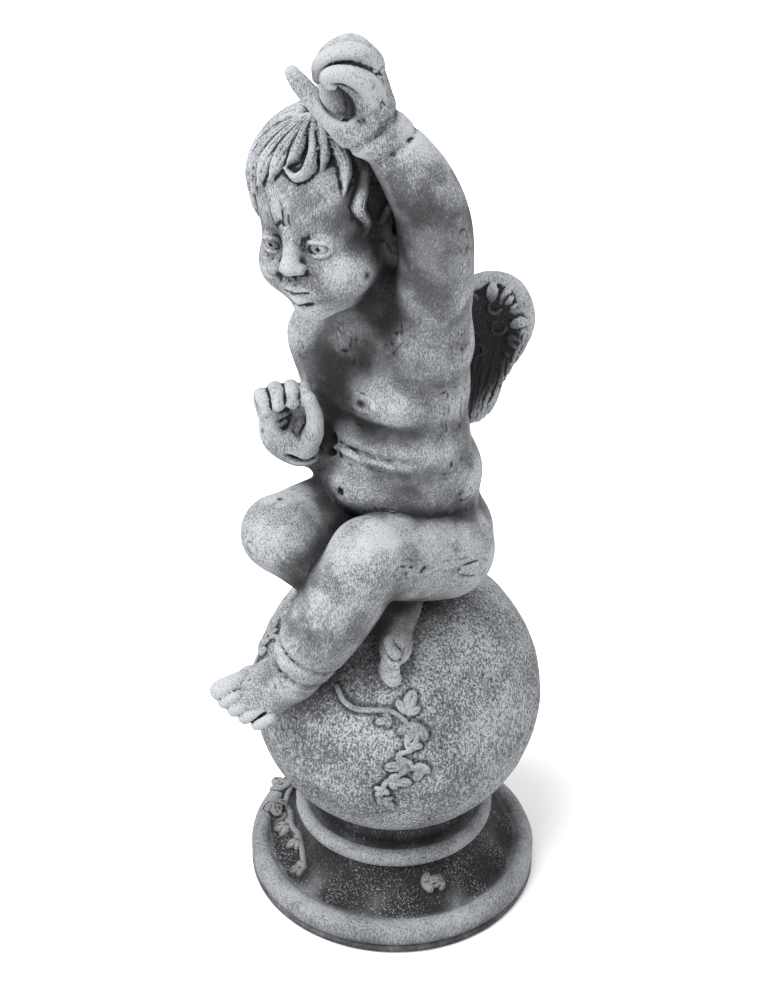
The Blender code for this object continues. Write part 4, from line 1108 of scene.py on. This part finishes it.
def turned_foot():
    """The turned foot, its surface worn and cast a little unevenly."""
    profile = even_line(foot_profile()[::-1], FOOT_SPACING)
    ring_points = profile[1:-1]
    turns = np.linspace(0, 2 * math.pi, FOOT_STEPS, endpoint=False)
    radius = np.repeat(ring_points[:, 0], FOOT_STEPS)
    height = np.repeat(ring_points[:, 1], FOOT_STEPS)
    turn = np.tile(turns, len(ring_points))
    out = np.stack([np.cos(turn), np.sin(turn), 0 * turn], axis=1)
    points = out * radius[:, None] + np.stack([0 * turn, 0 * turn, height], axis=1)
    at = points / MM
    relief = 0.35 * lattice_noise(at, 19.0, 5) + 0.18 * lattice_noise(at, 6.0, 6)
    chips = np.clip(lattice_noise(at, 7.5, 7) - 0.42, 0, 1) * np.clip(lattice_noise(at, 24.0, 8) + 0.3, 0, 1)
    wear = relief - 2.2 * chips - 0.5 * np.clip(lattice_noise(at, 2.4, 9) - 0.4, 0, 1)
    up = np.clip((height - 0.5 * MM) / (2 * MM), 0, 1)
    points += MM * (wear * up)[:, None] * (0.8 * out + 0.6 * vec(0, 0, 1))
    points = np.concatenate([points, [(0, 0, profile[0, 1]), (0, 0, profile[-1, 1])]])
    return closed_grid("foot", points, len(ring_points), FOOT_STEPS)


# Ivy on the ball, as (degrees round, degrees of rise, degrees that the tip turns from up, length in mm).
BALL_LEAVES = (
    (45.5, 27.0, -20, 12.0),
    (39.5, 25.0, 110, 8.0),
    (47.0, 23.0, 185, 12.0),
    (51.0, 22.0, 150, 13.0),
    (46.0, 15.0, -100, 8.0),
    (46.0, 6.5, 100, 11.0),
    (52.0, 6.0, 160, 10.0),
    (40.0, -0.5, -100, 11.0),
    (38.0, -5.0, 150, 8.0),
    (37.0, -10.5, -140, 9.0),
    (-41.0, 20.0, 10, 13.0),
    (-39.0, 30.0, 40, 9.0),
)
BALL_STEM = ((14, 33), (19, 28.5), (25, 26.8), (31, 27.4), (40, 27.5), (46, 23), (49, 14), (43, 10.5),
             (48, 6), (42, 1), (38, -3), (36, -12))
LEFT_STEM = ((-44, 12), (-41, 20), (-38, 30), (-30, 34))
# Ivy on the foot, as (degrees round, share of the way from the waist to the rim, degrees of turn,
# length in mm).
FOOT_LEAVES = (
    (-76, 1.12, 150, 14.0),
    (-64, 1.08, -60, 13.0),
    (-58, 0.65, 170, 17.0),
    (-44, 0.50, 150, 13.0),
    (-27, 0.35, 160, 10.0),
    (-12, 0.62, 140, 9.0),
    (60, 0.35, -90, 11.0),
    (72, 0.40, 90, 9.0),
)
FOOT_STEM = ((-84, 1.1), (-70, 0.9), (-56, 0.55), (-42, 0.45), (-28, 0.35), (-12, 0.6))


def tangent_place(origin, normal, turn):
    """A place on a surface: z out of it, and y the way a leaf points, turned from up by degrees."""
    normal = unit(normal)
    side = unit(np.cross((0, 0, 1), normal))
    up = np.cross(normal, side)
    turn = math.radians(turn)
    tip = math.cos(turn) * up - math.sin(turn) * side
    return Place(origin, np.stack([np.cross(tip, normal), tip, normal], axis=1))


def ball_place(round_, rise, turn=0.0):
    """A place on the ball, from degrees round from -Y towards +X and degrees of rise."""
    normal = heading(round_, rise)
    return tangent_place(vec(0, 0, BALL_CENTRE / MM) + normal * (BALL_RADIUS / MM), normal, turn)


def foot_place(round_, share, turn=0.0):
    """A place on the foot, by its share of the way from the waist (0) to the rim's inner line (1)."""
    radius = WAIST_RADIUS + (DISH_RADIUS - WAIST_RADIUS) * share
    height = cove_height(radius) if share < 1 else FOOT_HEIGHT
    flat = heading(round_, 0)
    lean = 0.75 if share < 1 else 0.3
    origin = flat * (radius / MM) + vec(0, 0, height / MM)
    return tangent_place(origin, flat * lean + vec(0, 0, 1), turn)


def leaf(clay, place, length):
    """A pointed ivy leaf with two side lobes, and sunken veins from its stalk to the tip of each lobe."""
    relief = IVY_RELIEF / MM
    clay.add(ellipsoid(place.at(0, 0.5 * length, 0), (0.30 * length, 0.55 * length, relief), place.axes), 0.5)
    tips = [vec(0, 1.0 * length, 0.4 * relief)]
    for side in (-1, 1):
        tip = unit((0.8 * side, 0.6, 0))
        axes = place.axes @ np.stack([np.cross(tip, (0, 0, 1)), tip, vec(0, 0, 1)], axis=1)
        middle = place.at(*(0.30 * length * tip))
        clay.add(ellipsoid(middle, (0.22 * length, 0.38 * length, relief), axes), 0.5)
        tips.append(0.6 * length * tip + vec(0, 0, 0.5 * relief))
    for tip in tips:
        vein = [vec(0, 0, relief), between((0, 0, relief), tip, 0.5) + vec(0, 0, 0.35 * relief), tip]
        clay.groove([place.at(*point) for point in vein], [0.55, 0.45, 0.25], 0.5)


def ivy_clay(pitch):
    """Ivy relief in millimetres: leaves and stems half sunk in the ball and the foot."""
    reach = max(FOOT_RADIUS, BALL_RADIUS) / MM + 8
    clay = Clay((-reach, -reach, -4), (reach, reach, SEAT_HEIGHT / MM), pitch)
    relief = IVY_RELIEF / MM
    for round_, rise, turn, length in BALL_LEAVES:
        leaf(clay, ball_place(round_, rise, turn), length)
    for round_, share, turn, length in FOOT_LEAVES:
        leaf(clay, foot_place(round_, share, turn), length)
    for stem in (BALL_STEM, LEFT_STEM):
        clay.rod([ball_place(*spot).origin for spot in stem], [0.7 * relief] * 2, 0.5)
    clay.rod([foot_place(*spot).origin for spot in FOOT_STEM], [0.8 * relief] * 2, 0.5)
    return clay


def node_group(name, inputs, outputs):
    """A new shader node group, with sockets given as (name, kind, value) and (name, kind)."""
    group = bpy.data.node_groups.new(name, "ShaderNodeTree")
    for label, kind, value in inputs:
        group.interface.new_socket(label, in_out="INPUT", socket_type=kind).default_value = value
    for label, kind in outputs:
        group.interface.new_socket(label, in_out="OUTPUT", socket_type=kind)
    return group, group.nodes.new("NodeGroupInput").outputs, group.nodes.new("NodeGroupOutput").inputs


def node(tree, kind, values=(), **settings):
    """Adds a node. Values go to its inputs by name or number, as numbers, colours or sockets to link."""
    made = tree.nodes.new(kind)
    for key, value in settings.items():
        setattr(made, key, value)
    for key, value in dict(values).items():
        if isinstance(value, bpy.types.NodeSocket):
            tree.links.new(value, made.inputs[key])
        else:
            made.inputs[key].default_value = value
    return made


def maths(tree, operation, first, second=0.0, clamp=False):
    """The result of one sum on two values."""
    values = {0: first, 1: second}
    return node(tree, "ShaderNodeMath", values, operation=operation, use_clamp=clamp).outputs[0]


def spread(tree, value, low, high):
    """The value spread so that low becomes 0 and high becomes 1, with soft ends."""
    values = {"Value": value, "From Min": low, "From Max": high}
    return node(tree, "ShaderNodeMapRange", values, interpolation_type="SMOOTHSTEP").outputs["Result"]


def blend_colour(tree, share, first, second):
    """Two colours mixed by a share."""
    values = {"Factor": share, 6: first, 7: second}
    return node(tree, "ShaderNodeMix", values, data_type="RGBA").outputs[2]


def noise(tree, place, size, detail, seed):
    """Noise that changes over a size in millimetres."""
    scale = maths(tree, "DIVIDE", 1.0 / MM, size)
    moved = node(tree, "ShaderNodeVectorMath", {0: place, 1: (seed, 2 * seed, 3 * seed)}).outputs[0]
    values = {"Vector": moved, "Scale": scale, "Detail": detail}
    return node(tree, "ShaderNodeTexNoise", values).outputs["Fac"]


# Grit is drawn out downwards by these shares, like the marks of a brush.
BRUSHED_SHARES = (0.9, 1.0, 0.28)


def grain_group():
    """Grain: broad mottling, the fine grit of cast cement and dark specks, with a height for bump."""
    value = "NodeSocketFloat"
    tree, given, result = node_group(
        "stone_grain",
        [("Mottle Size", value, 16.0), ("Grit Size", value, 1.1), ("Contrast", value, 0.8),
         ("Speck Size", value, 1.0), ("Speck Level", value, 0.66)],
        [("Mottle", value), ("Grit", value), ("Specks", value), ("Height", value)],
    )
    place = node(tree, "ShaderNodeTexCoord").outputs["Object"]
    mottle = noise(tree, place, given["Mottle Size"], 4.0, 0.3)
    drawn = node(tree, "ShaderNodeVectorMath", {0: place, 1: BRUSHED_SHARES}, operation="MULTIPLY").outputs[0]
    grains = maths(tree, "ADD", noise(tree, place, given["Grit Size"], 3.0, 0.7),
                   noise(tree, drawn, given["Grit Size"], 3.0, 2.1))
    uneven = maths(tree, "MULTIPLY", maths(tree, "SUBTRACT", grains, 1.0), given["Contrast"])
    grit = maths(tree, "ADD", uneven, 0.5)
    specks = noise(tree, place, given["Speck Size"], 2.0, 1.3)
    pits = spread(tree, maths(tree, "SUBTRACT", specks, given["Speck Level"]), 0.0, 0.07)
    tree.links.new(spread(tree, mottle, 0.36, 0.66), result["Mottle"])
    tree.links.new(grit, result["Grit"])
    tree.links.new(pits, result["Specks"])
    tree.links.new(maths(tree, "SUBTRACT", grit, maths(tree, "MULTIPLY", pits, 0.5)), result["Height"])
    return tree


def looks_and_shade_group():
    """Stone looks: a dark wash in hollows with painted shade in the broad recesses, a stain, and pale dry
    brushing over what stands out, with painted light where it faces up.
    """
    value, colour = "NodeSocketFloat", "NodeSocketColor"
    tree, given, result = node_group(
        "stone_looks_and_shade",
        [
            ("Stone", colour, (0.2, 0.2, 0.2, 1)), ("Pale", colour, (0.5, 0.5, 0.5, 1)),
            ("Wash", colour, (0.02, 0.02, 0.02, 1)), ("Stain", colour, (0.06, 0.05, 0.04, 1)),
            ("Hollow", value, 0.0), ("Recess", value, 0.0), ("Stain And Shade", value, 0.0),
            ("Upward", value, 0.0),
            ("Mottle", value, 0.5), ("Grit", value, 0.5), ("Specks", value, 0.0),
            ("Wash Amount", value, 1.0), ("Pale Amount", value, 1.0),
            ("Dust Amount", value, 0.2),
        ],
        [("Color", colour), ("Roughness", value)],
    )
    # The wash runs into hollows, its edge broken by the grit and the mottling; its darkening of the broad
    # recesses is painted shade as well as wash.
    rough_edge = maths(tree, "MULTIPLY", maths(tree, "SUBTRACT", given["Grit"], 0.5), 0.30)
    thinned_out = maths(tree, "MULTIPLY", maths(tree, "SUBTRACT", given["Mottle"], 0.5), 0.26)
    fine = spread(tree, maths(tree, "ADD", given["Hollow"], rough_edge), 0.0, 0.18)
    broad = maths(tree, "SUBTRACT", maths(tree, "ADD", given["Recess"], rough_edge), thinned_out)
    deep = maths(tree, "MULTIPLY", spread(tree, broad, -0.10, 0.46), 0.92)
    wash = maths(tree, "MULTIPLY", maths(tree, "MAXIMUM", fine, deep), given["Wash Amount"], clamp=True)
    # The brush touches what stands out, in some patches more than in others, and skips the grit's pits;
    # the extra pale on what faces up is painted light from above as well as dry brushing.
    raised = maths(tree, "SUBTRACT", given["Recess"], maths(tree, "MULTIPLY", given["Upward"], 0.12))
    open_ = spread(tree, raised, 0.34, -0.34)
    edge = spread(tree, maths(tree, "SUBTRACT", rough_edge, given["Hollow"]), 0.03, 0.30)
    uneven = maths(tree, "ADD", maths(tree, "MULTIPLY", given["Mottle"], 0.45), 0.48)
    patches = maths(tree, "MULTIPLY", open_, uneven)
    touched = maths(tree, "ADD", patches, maths(tree, "MULTIPLY", edge, 0.2), clamp=True)
    covered = maths(tree, "MULTIPLY", maths(tree, "SUBTRACT", touched, 0.5), 0.34)
    scratched = spread(tree, maths(tree, "ADD", given["Grit"], covered), 0.36, 0.70)
    pale = maths(tree, "MULTIPLY", scratched, given["Pale Amount"], clamp=True)
    bare = maths(tree, "MULTIPLY", maths(tree, "SUBTRACT", 1.0, given["Mottle"]), 0.3)
    worn = blend_colour(tree, bare, given["Stone"], given["Wash"])
    brushed = blend_colour(tree, pale, worn, given["Pale"])
    # The stain mask is a real brown stain on the foot's dish, and painted shade tinted brown under the
    # thighs.
    stain_and_shade = blend_colour(tree, given["Stain And Shade"], brushed, given["Stain"])
    washed = blend_colour(tree, wash, stain_and_shade, given["Wash"])
    # A little dust lies on the raised grit everywhere, also over the wash.
    dust = maths(tree, "MULTIPLY", spread(tree, given["Grit"], 0.50, 0.78), given["Dust Amount"])
    patchy = maths(tree, "MULTIPLY", dust, maths(tree, "ADD", given["Mottle"], 0.25), clamp=True)
    dusted = blend_colour(tree, patchy, washed, given["Pale"])
    specked = blend_colour(tree, maths(tree, "MULTIPLY", given["Specks"], 0.6), dusted, given["Wash"])
    tree.links.new(specked, result["Color"])
    sheen = maths(tree, "SUBTRACT", 0.88, maths(tree, "MULTIPLY", wash, 0.12))
    roughness = maths(tree, "ADD", sheen, maths(tree, "MULTIPLY", given["Specks"], 0.1))
    tree.links.new(roughness, result["Roughness"])
    return tree


def stone_material(name, grain, looks_and_shade, sizes, colours, amounts, bump):
    """Cast stone: the shared grain, wash, brushing and painted light and shade, with this piece's own sizes,
    colours and amounts.
    """
    material = bpy.data.materials.new(name)
    material.use_nodes = True
    tree = material.node_tree
    shader = tree.nodes["Principled BSDF"]
    fine = node(tree, "ShaderNodeGroup", node_tree=grain)
    for label, size in sizes.items():
        fine.inputs[label].default_value = size
    look = node(tree, "ShaderNodeGroup", node_tree=looks_and_shade)
    for label, value in {**colours, **amounts}.items():
        look.inputs[label].default_value = value
    for label in ("Mottle", "Grit", "Specks"):
        tree.links.new(fine.outputs[label], look.inputs[label])
    for label, mask in (("Hollow", "hollow"), ("Recess", "recess"), ("Stain And Shade", "stain_and_shade")):
        read = node(tree, "ShaderNodeAttribute", attribute_name=mask)
        tree.links.new(read.outputs["Fac"], look.inputs[label])
    # Faces that point up are brushed paler, partly as painted light from above.
    normal = node(tree, "ShaderNodeNewGeometry").outputs["Normal"]
    up = node(tree, "ShaderNodeSeparateXYZ", {0: normal}).outputs["Z"]
    tree.links.new(up, look.inputs["Upward"])
    tree.links.new(look.outputs["Color"], shader.inputs["Base Color"])
    tree.links.new(look.outputs["Roughness"], shader.inputs["Roughness"])
    shader.inputs["Specular IOR Level"].default_value = SPECULAR
    raised = {"Height": fine.outputs["Height"], "Strength": bump, "Distance": GRAIN_HEIGHT}
    tree.links.new(node(tree, "ShaderNodeBump", raised).outputs["Normal"], shader.inputs["Normal"])
    return material


# Wash is the dark of the wash in hollows and of the painted shade in recesses; Pale is the dry brushing and
# the painted light on what faces up; Stain is a brown stain, and also tints the painted shade under the
# thighs.
STONE_COLOURS = {
    "Stone": (0.118, 0.122, 0.128, 1),
    "Pale": (0.350, 0.364, 0.384, 1),
    "Wash": (0.006, 0.006, 0.007, 1),
    "Stain": (0.042, 0.038, 0.030, 1),
}
# Sizes of the grain in millimetres on each piece, its contrast, and the level above which specks show.
CHILD_GRAIN = {
    "Mottle Size": 19.0, "Grit Size": 0.55, "Contrast": 0.65, "Speck Size": 0.8, "Speck Level": 0.66,
}
BALL_GRAIN = {
    "Mottle Size": 26.0, "Grit Size": 1.0, "Contrast": 1.1, "Speck Size": 1.5, "Speck Level": 0.57,
}
FOOT_GRAIN = {
    "Mottle Size": 20.0, "Grit Size": 0.8, "Contrast": 0.85, "Speck Size": 1.1, "Speck Level": 0.64,
}
# How much wash and painted shade, pale brushing and painted light, and dust each piece has, and how strongly
# its grain is raised.
CHILD_AMOUNTS = {"Wash Amount": 1.0, "Pale Amount": 0.95, "Dust Amount": 0.15}
BALL_AMOUNTS = {"Wash Amount": 0.75, "Pale Amount": 1.0, "Dust Amount": 0.4}
IVY_AMOUNTS = {"Wash Amount": 1.0, "Pale Amount": 0.75, "Dust Amount": 0.2}
FOOT_AMOUNTS = {"Wash Amount": 0.92, "Pale Amount": 0.42, "Dust Amount": 0.5}
CHILD_BUMP = 0.35
BALL_BUMP = 0.5
IVY_BUMP = 0.35
FOOT_BUMP = 0.45
GRAIN_HEIGHT = 0.0006
SPECULAR = 0.18


def clay_piece(name, clay, scale, lift, triangles):
    """A closed mesh of the clay."""
    points, faces = skin(clay)
    obj = mesh_object(name, points * scale + vec(0, 0, lift), faces)
    thinned(obj, triangles)
    return obj


def shade_under_thighs(spots):
    """How much painted shade, tinted brown, lies under the thighs, at spots in the child's units."""
    away = np.linalg.norm((spots - vec(12, -34, 4)) / vec(52, 40, 26), axis=1)
    return np.clip(1.5 - 1.5 * away, 0, 0.8)


def in_wings(spots):
    """How far spots lie in the dark hollow at the front of either wing."""
    found = np.zeros(len(spots))
    for side in (1, -1):
        place = wing_place(side)
        across, back, up = ((spots - place.origin) @ place.axes).T
        away = np.hypot((across - 33) / 22, (up - 6) / 36)
        near = np.clip((3 - back) / 3, 0, 1) * np.clip((back + 11) / 4, 0, 1)
        found = np.maximum(found, np.clip(2.4 - 2.2 * away, 0, 1) * near)
    return found


# Painted shade, with some dirt, on the raised arm, chest, palm and shin; painted light where below 0, on the
# belly. As (place, reach, amount).
SHADE_AND_GRIME = (
    (between(LEFT_ELBOW, LEFT_FOREARM, 0.2), 44, 0.36),
    (between(LEFT_SHOULDER, LEFT_ELBOW, 0.4), 32, 0.22),
    (RIGHT_WRIST + vec(-8, -10, 14), 22, 0.24),
    (vec(-10, -28, 118), 34, 0.24),
    (vec(4, -32, 68), 26, -0.22),
    (between(LEFT_KNEE, LEFT_ANKLE, 0.6), 36, 0.18),
    (LEFT_WRIST + vec(-6, -6, 6), 22, 0.14),
)


def shade_and_grime(spots):
    """How much painted shade, with some dirt, darkens the child at spots in its units; below 0, painted
    light.
    """
    found = np.zeros(len(spots))
    for place, reach, amount in SHADE_AND_GRIME:
        away = np.linalg.norm(spots - place, axis=1) / reach
        found += amount * np.clip(1.5 - 1.5 * away, 0, 1)
    return found


def child_piece(recesses):
    """The child, with masks of its hollows, of painted shade and some dirt, and of painted shade under its
    thighs.
    """
    clay = child_clay(CHILD_PITCH / UNIT)
    obj = clay_piece("child", clay, UNIT, SEAT_HEIGHT, CHILD_TRIANGLES)
    points = points_of(obj)
    spots = (points - vec(0, 0, SEAT_HEIGHT)) / UNIT
    fine = 0.6 * hollows(clay, spots, 1.4) + 0.85 * hollows(clay, spots, 3.6) - 0.05
    # The wing hollows get extra dark wash and painted shade, through both masks.
    set_mask(obj, "hollow", fine + 0.30 * in_wings(spots))
    # The recess mask adds painted shade in the broad recesses, and painted shade and light at set spots.
    set_mask(obj, "recess", recesses.at(points) + shade_and_grime(spots) + 0.7 * in_wings(spots))
    # This mask is painted shade, tinted brown, under the thighs.
    set_mask(obj, "stain_and_shade", shade_under_thighs(spots))
    return obj


def ivy_piece(clay, recesses):
    """The ivy, with the wash deepest where it meets the stone."""
    obj = clay_piece("ivy", clay, MM, 0.0, IVY_TRIANGLES)
    points = points_of(obj)
    proud = (np.linalg.norm(points - vec(0, 0, BALL_CENTRE), axis=1) - BALL_RADIUS) / MM
    sunk = np.where(points[:, 2] > COLLAR_TOP, np.clip(1 - proud / 1.3, 0, 1), 0.15)
    set_mask(obj, "hollow", 0.8 * hollows(clay, points / MM, 1.6) + 0.35 * sunk)
    # The recess mask adds painted shade where the ivy lies in recesses, as under the ball.
    set_mask(obj, "recess", recesses.at(points))
    set_mask(obj, "stain_and_shade", 0.35 * (points[:, 2] < COLLAR_TOP))
    return obj


def beside_ivy(ivy, points):
    """Dark wash gathers on the stone beside the ivy."""
    return 0.9 * (hollows(ivy, points / MM, 2.6) + 1)


def ball_piece(ivy, recesses):
    """The ball, with dark wash beside the ivy, painted shade by the child and the foot, and painted shade
    under the thighs.
    """
    obj = uneven_ball()
    points = points_of(obj)
    set_mask(obj, "hollow", beside_ivy(ivy, points))
    # Painted shade where the child, the ivy and the foot close in over the ball.
    set_mask(obj, "recess", 0.7 * recesses.at(points))
    # Painted shade, tinted brown, under the thighs.
    set_mask(obj, "stain_and_shade", shade_under_thighs((points - vec(0, 0, SEAT_HEIGHT)) / UNIT))
    return obj


def foot_piece(ivy, recesses):
    """The foot, with its dish washed and browned in patches, and painted shade in its recesses under the
    ball.
    """
    obj = turned_foot()
    points = points_of(obj)
    radius = np.hypot(points[:, 0], points[:, 1])
    dish = np.clip((DISH_RADIUS + 0.001 - radius) / 0.004, 0, 1) * (points[:, 2] < WAIST_HEIGHT)
    patches = np.clip(0.75 + 0.8 * lattice_noise(points / MM, 17.0, 10), 0, 1)
    recess = recesses.at(points)
    # The recess mask adds painted shade under the overhanging ball; the patches are a brown stain.
    set_mask(obj, "hollow", 0.5 * recess + 0.16 * dish * patches + beside_ivy(ivy, points))
    set_mask(obj, "recess", recess)
    set_mask(obj, "stain_and_shade", 0.85 * dish * patches)
    return obj


# The camera of the photograph: its turn from -Y towards +X, its place, its pitch and roll,
# and its focal length.
CAMERA_TURN = 42.0
CAMERA_REACH = 0.85
CAMERA_SIDE = -0.0070
CAMERA_HEIGHT = 0.769
CAMERA_PITCH = 31.8
CAMERA_ROLL = 1.38
FRAME_HEIGHT = 1000
FOCAL_LENGTH = 1933
SENSOR = 36.0

# The studio: the floor's size and tone, the sky's strength, and two suns, as (degrees round from the camera,
# degrees of rise, strength, degrees of softness).
FLOOR_REACH = 40.0
FLOOR_COLOUR = (0.82, 0.82, 0.82, 1)
FLOOR_ROUGHNESS = 0.9
SKY_STRENGTH = 0.95
KEY_LIGHT = (-52, 58, 4.3, 40)
RIM_LIGHT = (140, 40, 0.9, 40)


def camera():
    """The camera at the photograph's place and angle."""
    towards = heading(CAMERA_TURN, 0)
    right = np.cross(vec(0, 0, 1), towards)
    place = towards * CAMERA_REACH + right * CAMERA_SIDE + vec(0, 0, CAMERA_HEIGHT)
    back = heading(CAMERA_TURN, CAMERA_PITCH)
    up = np.cross(back, right)
    roll = math.radians(CAMERA_ROLL)
    turned_right = math.cos(roll) * right + math.sin(roll) * up
    turned_up = math.cos(roll) * up - math.sin(roll) * right
    data = bpy.data.cameras.new("photo_camera")
    data.sensor_width = SENSOR
    data.lens = SENSOR * FOCAL_LENGTH / FRAME_HEIGHT
    obj = bpy.data.objects.new("photo_camera", data)
    columns = np.stack([turned_right, turned_up, back], axis=1)
    obj.matrix_world = Matrix.Translation(Vector(place)) @ Matrix(columns.tolist()).to_4x4()
    bpy.context.scene.collection.objects.link(obj)
    bpy.context.scene.camera = obj


def soft_sun(name, turn, rise, strength, softness):
    """Even light from one side of the camera, with soft shadows."""
    data = bpy.data.lights.new(name, "SUN")
    data.energy = strength
    data.angle = math.radians(softness)
    obj = bpy.data.objects.new(name, data)
    obj.matrix_world = Vector(heading(CAMERA_TURN + turn, rise)).to_track_quat("Z", "Y").to_matrix().to_4x4()
    bpy.context.scene.collection.objects.link(obj)


def studio():
    """A plain pale floor under plain soft light."""
    corners = FLOOR_REACH * np.array([(-1, -1, 0), (1, -1, 0), (1, 1, 0), (-1, 1, 0)])
    floor = mesh_object("floor", corners, [[0, 1, 2, 3]])
    material = bpy.data.materials.new("pale_floor")
    material.use_nodes = True
    shader = material.node_tree.nodes["Principled BSDF"]
    shader.inputs["Base Color"].default_value = FLOOR_COLOUR
    shader.inputs["Roughness"].default_value = FLOOR_ROUGHNESS
    floor.data.materials.append(material)
    floor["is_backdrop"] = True
    world = bpy.data.worlds.new("studio")
    world.use_nodes = True
    sky = world.node_tree.nodes["Background"].inputs
    sky["Color"].default_value = (1, 1, 1, 1)
    sky["Strength"].default_value = SKY_STRENGTH
    bpy.context.scene.world = world
    bpy.context.scene.view_settings.view_transform = "Standard"
    soft_sun("key_light", *KEY_LIGHT)
    soft_sun("rim_light", *RIM_LIGHT)


def main():
    """Sets the studio up, makes the four pieces in their stone, and notes the sizes."""
    camera()
    studio()
    grain, looks_and_shade = grain_group(), looks_and_shade_group()
    recesses = Recesses(whole_clay(WHOLE_PITCH))
    ivy = ivy_clay(IVY_PITCH / MM)
    pieces = (
        (child_piece(recesses), CHILD_GRAIN, CHILD_AMOUNTS, CHILD_BUMP),
        (ball_piece(ivy, recesses), BALL_GRAIN, BALL_AMOUNTS, BALL_BUMP),
        (ivy_piece(ivy, recesses), CHILD_GRAIN, IVY_AMOUNTS, IVY_BUMP),
        (foot_piece(ivy, recesses), FOOT_GRAIN, FOOT_AMOUNTS, FOOT_BUMP),
    )
    for piece, sizes, amounts, bump in pieces:
        material = stone_material(piece.name + "_stone", grain, looks_and_shade, sizes, STONE_COLOURS, amounts, bump)
        piece.data.materials.append(material)
        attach(piece, BODY)
        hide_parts(NODE)
    sizes = {"cad": [list(map(float, corner)) for corner in CAD_BOUNDS],
             "visual": [list(map(float, corner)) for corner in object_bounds()]}


main()
